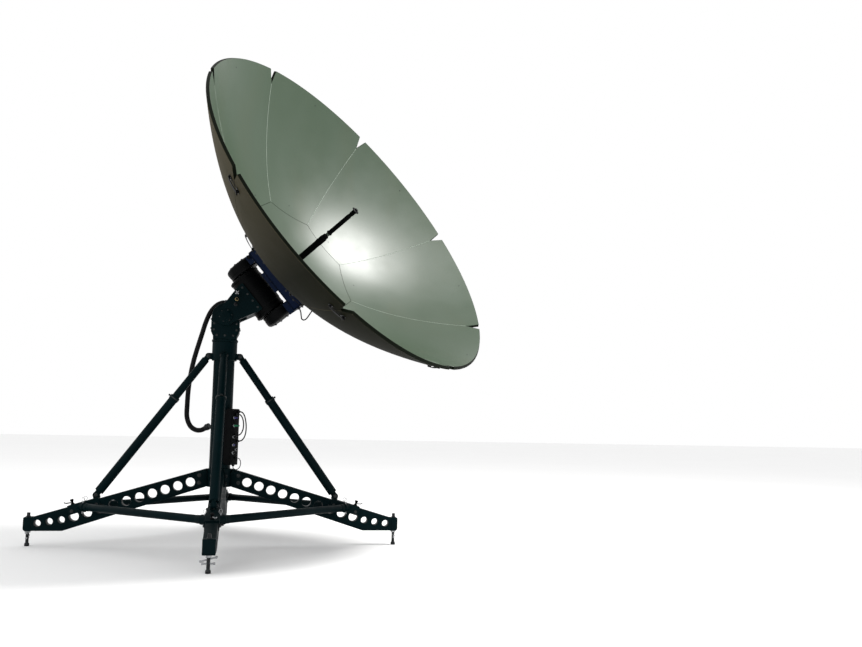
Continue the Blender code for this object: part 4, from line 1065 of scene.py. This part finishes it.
def make_junction_box():
    """The box on the column: lid, and sockets and plugs on its outer face."""
    piece = Piece("junction_box_housing", "stand", "black_paint", ("junction_box",))
    start = COLUMN_RADIUS + 0.001
    end = BOX_FACE
    middle = BOX_BOTTOM + BOX_HEIGHT / 2
    for sign in (-1, 1):
        flank = box((0.016, 0.020, BOX_HEIGHT - 0.02),
                    (start - 0.004, sign * (BOX_WIDTH / 2 - 0.010), middle), 0.001)
        piece.add(flank, BOX, black)
    piece.add(box((end - start - 0.006, BOX_WIDTH, BOX_HEIGHT),
                  ((start + end) / 2 - 0.003, 0, middle), 0.003), BOX, black)
    piece.add(box((0.006, BOX_WIDTH - 0.004, BOX_HEIGHT - 0.004), (end - 0.003, 0, middle), 0.002),
              BOX, black)
    corners = []
    for height in (BOX_BOTTOM + 0.010, middle, BOX_BOTTOM + BOX_HEIGHT - 0.010):
        for across in (-BOX_WIDTH / 2 + 0.007, BOX_WIDTH / 2 - 0.007):
            corners.append(face_of_box(across, height))
    piece.bolts(0.005, corners, dull_bolt, washer=False)
    for route in (OUTER_LEAD, INNER_LEAD):
        for _, across, height in (route[0], route[-1]):
            add_socket(piece, face_of_box(across, height), LEAD_SOCKET_LENGTH)
    add_socket(piece, face_of_box(LOWER_LEAD[0][1], LOWER_LEAD[0][2]), LEAD_SOCKET_LENGTH)
    reach, across, _ = LOWER_LEAD[-1]
    bottom = BOX @ MOVE((reach, across, BOX_BOTTOM)) @ TURN(math.pi, 4, "X")
    add_socket(piece, bottom, BOTTOM_SOCKET_LENGTH)
    plugs = ((-0.018, 0.762, 0.048, green_cap), (-0.018, 0.812, 0.028, violet_cap),
             (-0.018, 0.690, 0.016, sheath), (-0.018, 0.640, 0.016, violet_cap),
             (0.010, 0.610, 0.016, sheath), (-0.018, 0.590, 0.016, sheath))
    for across, height, length, cap in plugs:
        place = face_of_box(across, height)
        collar = [(0.0, 0.007), (0.0080, 0.007), (0.0095, 0.005), (0.0095, -0.0005), (0.0, -0.0005)]
        piece.add(lathe(rounded(collar, 0.0006, 2), 24), place, zinc)
        shell = [(0.0, length), (0.0042, length - 0.0004), (0.0052, length * 0.55),
                 (0.0064, length * 0.48), (0.0064, 0.006), (0.0, 0.006)]
        piece.add(lathe(rounded(shell, 0.0008, 2), 24), place, cap)
    piece.close()


def face_of_box(across, height):
    """A frame on the box's outer face, its Z out of the face."""
    return BOX @ MOVE((BOX_FACE, across, height)) @ TURN(math.pi / 2, 4, "Y")


def make_lead(name, body, route, matrix, radius):
    """A short lead, one free length between its two sockets."""
    line = [Vector(route[0])] + smooth_route(route[1:-1], 48) + [Vector(route[-1])]
    points = [matrix @ point for point in line]
    piece = Piece(f"{name}_sheath", body, "black_rubber", (name,))
    piece.add(wire(points, radius, 3), Matrix.Identity(4), sheath)
    made = piece.close(60.0)


# Arm
def make_arm():
    piece = Piece("fork_arm", "arm", "teal_paint", ("x_arm",))
    side = math.degrees(math.atan2(ARM_TOP_HALF_WIDTH - ARM_END_RADIUS, ARM_TOP))
    outline = arc((0, 0), ARM_END_RADIUS, 180 - side, 360 + side, 36)
    outline += [(ARM_TOP_HALF_WIDTH, ARM_TOP - 0.030), (ARM_TOP_HALF_WIDTH, ARM_TOP),
                (-ARM_TOP_HALF_WIDTH, ARM_TOP), (-ARM_TOP_HALF_WIDTH, ARM_TOP - 0.030)]
    solid = plate(outline, 2 * ARM_CHEEK_OUTER, edge=0.00001)
    fork = box((0.6, ARM_ROOT + 0.3, 2 * ARM_CHEEK_INNER), (0, (ARM_ROOT - 0.3) / 2, 0), 0.0001)
    seat = rod(DRUM_RADIUS + GAP, -0.3, 0.3, 96, 0.0001)
    seat.transform(MOVE((0, AXIS_SPACING - DRUM_DROP, 0)) @ TURN(math.pi / 2, 4, "Y"))
    piece.add(carved(solid, (fork, seat), 0.0025), ARM @ UPRIGHT, teal)
    front = ARM @ MOVE((0, -ARM_CHEEK_OUTER, 0)) @ UPRIGHT
    rear = ARM @ MOVE((0, ARM_CHEEK_OUTER, 0)) @ TURN(-math.pi / 2, 4, "X")
    places = []
    for x in (-0.080, -0.027, 0.027, 0.080):
        places.append(front @ MOVE((x, ARM_TOP - 0.018, 0)))
        places.append(rear @ MOVE((x, -ARM_TOP + 0.018, 0)))
    piece.bolts(0.011, places)
    piece.close()


def make_arm_connectors():
    """Round connectors and their short pigtails on the arm's front cheek."""
    piece = Piece("arm_connectors", "arm", "teal_paint")
    front = ARM @ MOVE((0, -ARM_CHEEK_OUTER, 0)) @ UPRIGHT
    for x, z, cap in ((-0.072, 0.150, dull_bolt), (-0.042, 0.122, brass), (-0.020, 0.096, dark_steel)):
        socket = front @ MOVE((x, z, 0))
        piece.add(lathe(rounded([(0.0, 0.014), (0.009, 0.014), (0.009, 0.004), (0.012, 0.004),
                                 (0.012, -0.0005), (0.0, -0.0005)], 0.001, 2), 24), socket, cap)
        piece.add(lathe(rounded([(0.0, 0.026), (0.0075, 0.025), (0.008, 0.012), (0.0, 0.012)],
                                0.001, 2), 24), socket, sheath)
    piece.add(box((0.030, 0.006, 0.004), (-0.072, 0.150, 0.028), 0.001), front, zinc)
    piece.add(box((0.006, 0.030, 0.004), (-0.072, 0.150, 0.028), 0.001), front, zinc)
    piece.close()


def make_x_cap():
    piece = Piece("lower_bearing_cap", "arm", "teal_paint", ("x_bearing_cap",))
    place = ARM @ MOVE((0, -ARM_CHEEK_OUTER - GAP, 0)) @ UPRIGHT
    profile = [(0.0, 0.012), (0.028, 0.012), (0.033, 0.007), (0.044, 0.006), (0.044, 0.0),
               (0.0, 0.0)]
    piece.add(lathe(rounded(profile, 0.0012, 2), 48), place, teal)
    piece.bolts(0.007, [place @ item for item in ring_of(6, 0.0385, 0.006)], washer=False)
    piece.close()


def make_drum():
    """The middle drum, off the shaft's centre: flanged ends, a split line and bolts."""
    piece = Piece("upper_drive_drum", "arm", "black_paint", ("y_drive_housing",))
    end = DRUM_HALF_LENGTH
    radius = DRUM_RADIUS
    half = [(0.0, end), (radius - 0.014, end), (radius - 0.004, end - 0.004),
            (radius, end - 0.008), (radius, end - 0.020), (radius - 0.003, end - 0.022),
            (radius - 0.003, end - 0.050), (radius, end - 0.053), (radius, 0.006),
            (radius - 0.002, 0.004)]
    profile = half + [(r, -h) for r, h in reversed(half)]
    along = TURN(math.pi / 2, 4, "Y")
    place = ARM @ MOVE((0, 0, AXIS_SPACING - DRUM_DROP)) @ along
    piece.add(lathe(rounded(profile, 0.0012, 2), 96), place, black)
    piece.add(rod(0.030, -0.212, 0.212, 48), ARM @ MOVE((0, 0, AXIS_SPACING)) @ along, dark_steel)
    for sign in (-1, 1):
        face = place @ TURN(0.0 if sign > 0 else math.pi, 4, "Y")
        piece.bolts(0.009, [face @ item for item in ring_of(10, 0.084, end - 0.0003)], dark_steel)
    piece.close()


# Dish and what turns with it
def make_end_housings():
    reach = DRUM_END_REACH
    start = DRUM_HALF_LENGTH + RUNNING_GAP
    radius = END_HOUSING_RADIUS
    bore = 0.0303
    for name, sign in (("upper", -1), ("lower", 1)):
        node_name = f"y_end_housing_{name}"
        piece = Piece(f"end_housing_{name}", "dish", "black_paint", (node_name,))
        profile = [(0.0, reach), (0.050, reach), (0.052, reach - 0.003), (0.086, reach - 0.003),
                   (0.100, reach - 0.008), (0.109, reach - 0.016), (radius, reach - 0.026),
                   (radius, start + 0.024), (radius - 0.002, start + 0.022),
                   (radius - 0.002, start + 0.010), (radius, start + 0.008),
                   (radius, start + 0.004), (radius - 0.004, start), (bore, start),
                   (bore, 0.2173), (0.0, 0.2173)]
        place = YOKE @ TURN(sign * math.pi / 2, 4, "Y")
        piece.add(lathe(rounded(profile, 0.0015, 2), 96), place, black)
        piece.bolts(0.012, [place @ item for item in ring_of(8, 0.072, reach - 0.0035)],
                    dark_steel)
        piece.close()


def make_bracket():
    """The hollow blue frame behind the hub, its legs on the end housings and its rib."""
    piece = Piece("dish_yoke", "dish", "blue_paint", ("dish_bracket",))
    near, far, half, wall = -BRACKET_REACH, BRACKET_LOWER_REACH, BRACKET_HALF_WIDTH, BRACKET_WALL
    low, high = BRACKET_BOTTOM, BRACKET_TOP
    length = far - near
    centre = (far + near) / 2
    piece.add(box((length, 2 * half, wall), (centre, 0, low + wall / 2), 0.002), YOKE, blue)
    tall = high - low
    level = (low + high) / 2
    for sign in (-1, 1):
        piece.add(box((length, wall, tall), (centre, sign * (half - wall / 2), level), 0.002),
                  YOKE, blue)
    for x in (near + wall / 2, far - wall / 2):
        piece.add(box((wall, 2 * half, tall), (x, 0, level), 0.002), YOKE, blue)
    width = RIB_HALF_WIDTH
    top = low + 0.002
    seat = END_HOUSING_RADIUS + 0.0006
    for start, end, radius in ((near, -BRACKET_LEG_START, seat), (BRACKET_LEG_START, far, seat),
                               (-RIB_HALF_LENGTH, RIB_HALF_LENGTH, RIB_CLEARANCE_RADIUS)):
        edge_height = math.sqrt(radius * radius - width * width)
        spread = math.degrees(math.atan2(edge_height, width))
        section = [(-width, top)] + arc((0, 0), radius, 180 - spread, spread, 24) + [(width, top)]
        section.reverse()
        place = YOKE @ MOVE(((start + end) / 2, 0, 0)) @ ALONG_X
        piece.add(plate(section, end - start, edge=0.0015), place, blue)
    places = []
    for sign in (-1, 1):
        for x in (-0.205, -0.185, 0.190, 0.220, -0.050, 0.0, 0.050):
            place = MOVE((x, sign * width, 0.132)) @ TURN(-sign * math.pi / 2, 4, "X")
            places.append(YOKE @ place)
        for x in (-0.190, -0.115, 0.115, 0.190):
            place = MOVE((x, sign * half, 0.196)) @ TURN(-sign * math.pi / 2, 4, "X")
            places.append(YOKE @ place)
    piece.bolts(0.011, places, dark_steel)
    knob = YOKE @ MOVE((near + 0.016, -width - 0.001, 0.118)) @ TURN(math.pi / 2, 4, "X")
    stem = [(0.0, 0.022), (0.011, 0.021), (0.012, 0.012), (0.007, 0.010), (0.007, -0.001),
            (0.0, -0.001)]
    piece.add(lathe(rounded(stem, 0.002, 2), 24), knob, black)
    socket = YOKE @ MOVE((far, BRACKET_LEAD[0][1], BRACKET_LEAD[0][2])) @ TURN(math.pi / 2, 4, "Y")
    add_socket(piece, socket, LEAD_SOCKET_LENGTH)
    piece.close()


def dish_height(x, y):
    return (x * x + y * y) / (4 * FOCAL_LENGTH)


def shell_piece(name, node_name, shape, clean_edge=0.0012):
    """Thicken a face of the dish to a panel with a painted face, back and edge."""
    mesh = bpy.data.meshes.new(name)
    bmesh.ops.recalc_face_normals(shape, faces=shape.faces[:])
    if sum(face.normal.z for face in shape.faces) < 0:
        bmesh.ops.reverse_faces(shape, faces=shape.faces[:])
    shape.to_mesh(mesh)
    shape.free()
    holder = bpy.data.objects.new(name + "_drawing", mesh)
    bpy.context.scene.collection.objects.link(holder)
    for material in (skin_front, skin_back, skin_rim):
        mesh.materials.append(material)
    thick = holder.modifiers.new("thick", "SOLIDIFY")
    thick.thickness = DISH_THICKNESS
    thick.offset = -1.0
    thick.use_even_offset = True
    thick.material_offset = 1
    thick.material_offset_rim = 2
    soft = holder.modifiers.new("soft", "BEVEL")
    soft.width = clean_edge
    soft.segments = 1
    soft.limit_method = "ANGLE"
    soft.angle_limit = math.radians(50)
    bpy.context.view_layer.update()
    graph = bpy.context.evaluated_depsgraph_get()
    solid = bpy.data.meshes.new_from_object(holder.evaluated_get(graph))
    bpy.data.objects.remove(holder, do_unlink=True)
    bpy.data.meshes.remove(mesh)
    solid.name = name
    return solid


def place_panel(solid, name, node_name, turn):
    solid.transform(DISH @ turn)
    solid.shade_smooth()
    solid.set_sharp_from_angle(angle=math.radians(35))
    panel = bpy.data.objects.new(name, solid)
    bpy.context.scene.collection.objects.link(panel)
    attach(panel, "dish")
    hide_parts(node_name)
    return panel


def make_hub_panel():
    """The octagonal middle panel, in a fine polar grid that ends on its straight edges."""
    shape = bmesh.new()
    around, out = 96, 14
    centre = shape.verts.new((0, 0, 0))
    rings = []
    for i in range(1, out + 1):
        ring = []
        for k in range(around):
            angle = 2 * math.pi * k / around
            off_middle = (angle + PETAL_ANGLE / 2) % PETAL_ANGLE - PETAL_ANGLE / 2
            radius = (HUB_APOTHEM - GAP) / math.cos(off_middle) * i / out
            x, y = radius * math.cos(angle), radius * math.sin(angle)
            ring.append(shape.verts.new((x, y, dish_height(x, y))))
        rings.append(ring)
    for k in range(around):
        shape.faces.new((centre, rings[0][k], rings[0][(k + 1) % around]))
    for inner, outer in zip(rings, rings[1:]):
        for k in range(around):
            j = (k + 1) % around
            shape.faces.new((inner[k], outer[k], outer[j], inner[j]))
    place_panel(shell_piece("hub_face", "hub_panel", shape), "hub_face", "hub_panel",
                Matrix.Identity(4))
    boss = Piece("hub_boss", "dish", "dish_paint")
    seat = BRACKET_TOP + GAP - DISH_OFFSET
    profile = [(0.0, seat), (HUB_BOSS_RADIUS, seat), (HUB_BOSS_RADIUS, -0.008), (0.0, -0.016)]
    boss.add(lathe(rounded(profile, 0.003, 2), 96), DISH, skin_back)
    flange = [item @ TURN(math.pi, 4, "X") for item in ring_of(16, 0.172, seat)]
    boss.bolts(0.014, [DISH @ item for item in flange], dark_steel)
    end, before = Vector(BRACKET_LEAD[-1]), Vector(BRACKET_LEAD[-2])
    outward = (before - end).normalized()
    back = end - outward * LEAD_SOCKET_LENGTH
    turn = outward.to_track_quat("Z", "Y").to_matrix().to_4x4()
    add_socket(boss, YOKE @ MOVE(back) @ turn, LEAD_SOCKET_LENGTH)
    boss.close()


def make_petal(number):
    """One eighth of the dish, its outer corners cut off at the seams."""
    shape = bmesh.new()
    across, out = 22, 26
    half = PETAL_ANGLE / 2 - 0.00035
    grid = []
    for i in range(out + 1):
        row = []
        for k in range(across + 1):
            angle = -half + 2 * half * k / across
            inner = (HUB_APOTHEM + GAP) / math.cos(angle)
            radius = inner + (DISH_RADIUS - inner) * i / out
            x, y = radius * math.cos(angle), radius * math.sin(angle)
            row.append(shape.verts.new((x, y, dish_height(x, y))))
        grid.append(row)
    for near, far in zip(grid, grid[1:]):
        for k in range(across):
            shape.faces.new((near[k], far[k], far[k + 1], near[k + 1]))
    middle = PETAL_ANGLE / 2
    for sign in (-1, 1):
        on_seam = Vector((math.cos(middle), sign * math.sin(middle), 0)) * (DISH_RADIUS - NOTCH_DEPTH)
        angle = middle - NOTCH_HALF_WIDTH / DISH_RADIUS
        on_rim = Vector((math.cos(angle), sign * math.sin(angle), 0)) * DISH_RADIUS
        along = on_rim - on_seam
        normal = Vector((-along.y, along.x, 0)) * sign
        geometry = shape.verts[:] + shape.edges[:] + shape.faces[:]
        bmesh.ops.bisect_plane(shape, geom=geometry, dist=0.000001, plane_co=on_seam,
                               plane_no=normal, clear_outer=True)
    node_name = f"petal_{number}"
    turn = TURN(PETAL_ANGLE * (number - 1), 4, "Z")
    place_panel(shell_piece(f"petal_face_{number}", node_name, shape), f"petal_face_{number}",
                node_name, turn)


def on_dish(radius, angle, back=False):
    """A frame on the dish: Z out of its face or back, Y outwards along its slope."""
    x, y = radius * math.cos(angle), radius * math.sin(angle)
    slope = radius / (2 * FOCAL_LENGTH)
    outward = Vector((math.cos(angle), math.sin(angle), slope)).normalized()
    normal = Vector((-slope * math.cos(angle), -slope * math.sin(angle), 1)).normalized()
    place = Vector((x, y, dish_height(x, y)))
    if back:
        place = place - normal * DISH_THICKNESS
        normal = -normal
    across = outward.cross(normal)
    turn = Matrix((across, outward, normal)).transposed().to_4x4()
    return DISH @ MOVE(place) @ turn


def make_dish_studs():
    """The small dark studs in the face: one near the rim and one near the hub a petal."""
    piece = Piece("dish_studs", "dish", "black_paint")
    for number in range(PETAL_COUNT):
        for radius in (RIM_STUD_RADIUS, INNER_STUD_RADIUS):
            place = on_dish(radius, PETAL_ANGLE * number)
            stud = [(0.0, 0.0012), (0.0035, 0.0010), (0.0048, -0.0004), (0.0, -0.0004)]
            piece.add(lathe(stud, 16), place, dark_steel)
    piece.close()


def make_seams():
    """Thin pale lines along the seams between petals, a painted highlight of their edges, and a dark
    line round the hub.
    """
    piece = Piece("seam_filler", "dish", "dish_paint")
    steps = 16
    start, end = HUB_CORNER_RADIUS, DISH_RADIUS - NOTCH_DEPTH - 0.004
    for number in range(PETAL_COUNT):
        seam = PETAL_ANGLE * (number + 0.5)
        radial = [(start + (end - start) * i / steps, seam) for i in range(steps + 1)]
        hub = []
        for i in range(9):
            angle = seam - PETAL_ANGLE * i / 8
            off_middle = (angle + PETAL_ANGLE / 2) % PETAL_ANGLE - PETAL_ANGLE / 2
            hub.append((HUB_APOTHEM / math.cos(off_middle), angle))
        # the pale radial lines are painted highlight; the hub line is a dark joint
        for line, width, material in ((radial, 0.0011, seam_glint), (hub, 0.0010, skin_rim)):
            points = [on_dish(radius, angle) @ Vector((0, 0, -0.0003)) for radius, angle in line]
            piece.add(wire(points, width, 1), Matrix.Identity(4), material)
    piece.close(60)


def band(rows, width, thickness):
    """A flat strap through frames: thin along each frame's Z and wide along its Y."""
    shape = bmesh.new()
    half = width / 2
    loops = []
    for place in rows:
        corners = ((-half, 0.0), (half, 0.0), (half, thickness), (-half, thickness))
        loops.append([shape.verts.new(place @ Vector((0, y, z))) for y, z in corners])
    for first, second in zip(loops, loops[1:]):
        for k in range(4):
            j = (k + 1) % 4
            shape.faces.new((first[k], first[j], second[j], second[k]))
    shape.faces.new(loops[0])
    shape.faces.new(loops[-1])
    return finish(shape)


def make_latches():
    """Rubber draw latches on the back, which pull neighbouring petals together."""
    piece = Piece("seam_latches", "dish", "black_paint")
    straps = Piece("seam_straps", "dish", "black_rubber")
    reach = 0.046
    for number in range(PETAL_COUNT):
        seam = PETAL_ANGLE * (number + 0.5)
        for radius in (1.110, 0.560):
            place = on_dish(radius, seam, back=True)
            for sign in (-1, 1):
                piece.add(box((0.026, 0.030, 0.003), (sign * reach, 0, 0.0014), 0.001), place,
                          dark_steel)
                piece.add(box((0.012, 0.022, 0.010), (sign * (reach + 0.003), 0, 0.006), 0.002),
                          place, black)
                rivet = place @ MOVE((sign * (reach - 0.008), 0.010, 0.0029))
                piece.add(rod(0.0025, 0.0, 0.0014, 12, 0.0005), rivet, zinc)
            handle = place @ MOVE((reach + 0.010, 0, 0.013)) @ TURN(math.pi / 2, 4, "X")
            piece.add(rod(0.0042, -0.019, 0.019, 16, 0.002), handle, black)
            rows = []
            for i in range(13):
                along = -reach + (2 * reach + 0.010) * i / 12
                lift = 0.010 + 0.003 * math.sin(math.pi * i / 12)
                rows.append(place @ MOVE((along, 0, lift)))
            straps.add(band(rows, 0.022, 0.0035), Matrix.Identity(4), sheath)
    piece.close()
    straps.close()


def make_feed():
    mast = Piece("feed_mast_finish", "dish", "black_paint", ("feed_mast",))
    foot = 0.0018
    top = FEED_MAST_LENGTH
    radius = FEED_MAST_RADIUS
    profile = [(0.0, top), (0.012, top), (0.012, top - 0.018), (0.019, top - 0.024),
               (0.019, top - 0.040), (radius, top - 0.046), (radius, top - 0.100),
               (radius - 0.0015, top - 0.102), (radius - 0.0015, 0.060), (radius, 0.058),
               (radius, 0.026), (0.024, 0.020), (0.040, 0.016), (0.040, foot), (0.0, foot)]
    mast.add(lathe(rounded(profile, 0.001, 2), 48), DISH, black)
    mast.bolts(0.009, [DISH @ item for item in ring_of(6, 0.032, 0.0155)])
    mast.close()
    tube = Piece("feed_tube_finish", "dish", "black_paint", ("feed_tube",))
    start = FEED_MAST_LENGTH + GAP
    end = FEED_LENGTH
    profile = [(0.0, end), (0.010, end), (0.012, end - 0.008), (0.025, end - 0.010),
               (0.025, end - 0.014), (FEED_TUBE_RADIUS, end - 0.018),
               (FEED_TUBE_RADIUS, end - 0.050), (FEED_TUBE_RADIUS - 0.002, end - 0.052),
               (FEED_TUBE_RADIUS - 0.002, end - 0.066), (FEED_TUBE_RADIUS, end - 0.068),
               (FEED_TUBE_RADIUS, start + 0.012), (0.019, start + 0.008), (0.019, start + 0.002),
               (0.0, start + 0.002)]
    tube.add(lathe(rounded(profile, 0.0008, 2), 40), DISH, black)
    tube.add(pipe(0.0135, 0.0118, start - 0.012, start + 0.0015, 40, 0.0004), DISH, zinc)
    tube.close()


# Scene
def make_stage():
    shape = bmesh.new()
    bmesh.ops.create_grid(shape, x_segments=1, y_segments=1, size=40.0)
    floor = bpy.data.objects.new("floor", finish(shape))
    bpy.context.scene.collection.objects.link(floor)
    floor.location.z = -0.0005
    material, tree, shader = start_material("floor_paint")
    tone = mix(tree, noise(tree, 0.6, 3.0), (0.88, 0.88, 0.88), (0.91, 0.91, 0.91))
    tree.links.new(tone, shader.inputs["Base Color"])
    shader.inputs["Roughness"].default_value = 0.9
    floor.data.materials.append(material)


def look_at(place, target):
    return (Vector(target) - Vector(place)).to_track_quat("-Z", "Y").to_matrix().to_4x4()


def add_light(name, place, target, size, energy, colour):
    light = bpy.data.lights.new(name, "AREA")
    light.shape = "DISK"
    light.size = size
    light.energy = energy
    light.color = colour
    lamp = bpy.data.objects.new(name, light)
    bpy.context.scene.collection.objects.link(lamp)
    lamp.matrix_world = MOVE(place) @ look_at(place, target)


def set_view():
    """Plain sRGB view, which keeps the pale ground white and the paint deep."""
    bpy.context.scene.view_settings.view_transform = "Standard"


def make_lights():
    """Key light where the face of the dish mirrors it, soft fill, and a pale sky."""
    glow = STAND @ Vector((0.805, 0.255, 1.994))
    key = glow + Vector((0.606, -0.182, 0.774)) * 6.0
    add_light("key", key, glow, 2.0, 560.0, (1.0, 0.99, 0.97))
    add_light("fill", STAND @ Vector((-4.5, -4.0, 3.5)), STAND @ Vector((0, 0, 1.0)), 4.0, 40.0,
              (0.93, 0.97, 1.0))
    world = bpy.data.worlds.new("studio")
    bpy.context.scene.world = world
    world.use_nodes = True
    sky = world.node_tree.nodes["Background"]
    sky.inputs["Color"].default_value = (1.0, 1.0, 1.0, 1.0)
    sky.inputs["Strength"].default_value = 1.0


def make_camera():
    yaw, pitch, roll = CAMERA_YAW, CAMERA_PITCH, CAMERA_ROLL
    forward = Vector((math.sin(yaw) * math.cos(pitch), math.cos(yaw) * math.cos(pitch),
                      math.sin(pitch)))
    level = Vector((math.cos(yaw), -math.sin(yaw), 0))
    above = level.cross(forward)
    right = math.cos(roll) * level + math.sin(roll) * above
    up = math.cos(roll) * above - math.sin(roll) * level
    data = bpy.data.cameras.new("camera")
    data.sensor_width = FILM_WIDTH
    data.lens = FOCAL_PIXELS * FILM_WIDTH / PHOTO_WIDTH
    camera = bpy.data.objects.new("camera", data)
    bpy.context.scene.collection.objects.link(camera)
    camera.matrix_world = (MOVE(STAND @ CAMERA_PLACE)
                           @ Matrix((right, up, -forward)).transposed().to_4x4())
    bpy.context.scene.camera = camera


set_view()
make_camera()
make_conduit()
make_column()
make_base_hub()
make_brace_crown()
for side_name in LEG_ANGLES:
    make_outrigger(side_name)
    make_jack(side_name)
    make_ring_clamp(side_name)
    make_brace(side_name)
sides = list(LEG_ANGLES)
for index, side_name in enumerate(sides):
    make_ring_tube(side_name, sides[(index + 1) % len(sides)])
make_head_block()
make_drive_cover()
make_junction_box()
make_lead("box_lead_outer", "stand", OUTER_LEAD, BOX, LEAD_RADIUS)
make_lead("box_lead_inner", "stand", INNER_LEAD, BOX, LEAD_RADIUS)
make_lead("box_lead_lower", "stand", LOWER_LEAD, BOX, THIN_LEAD_RADIUS)
make_lead("bracket_lead", "dish", BRACKET_LEAD, YOKE, LEAD_RADIUS)
make_arm()
make_arm_connectors()
make_x_cap()
make_drum()
make_end_housings()
make_bracket()
make_hub_panel()
for petal_number in range(1, PETAL_COUNT + 1):
    make_petal(petal_number)
make_dish_studs()
make_seams()
make_latches()
make_feed()
make_stage()
make_lights()
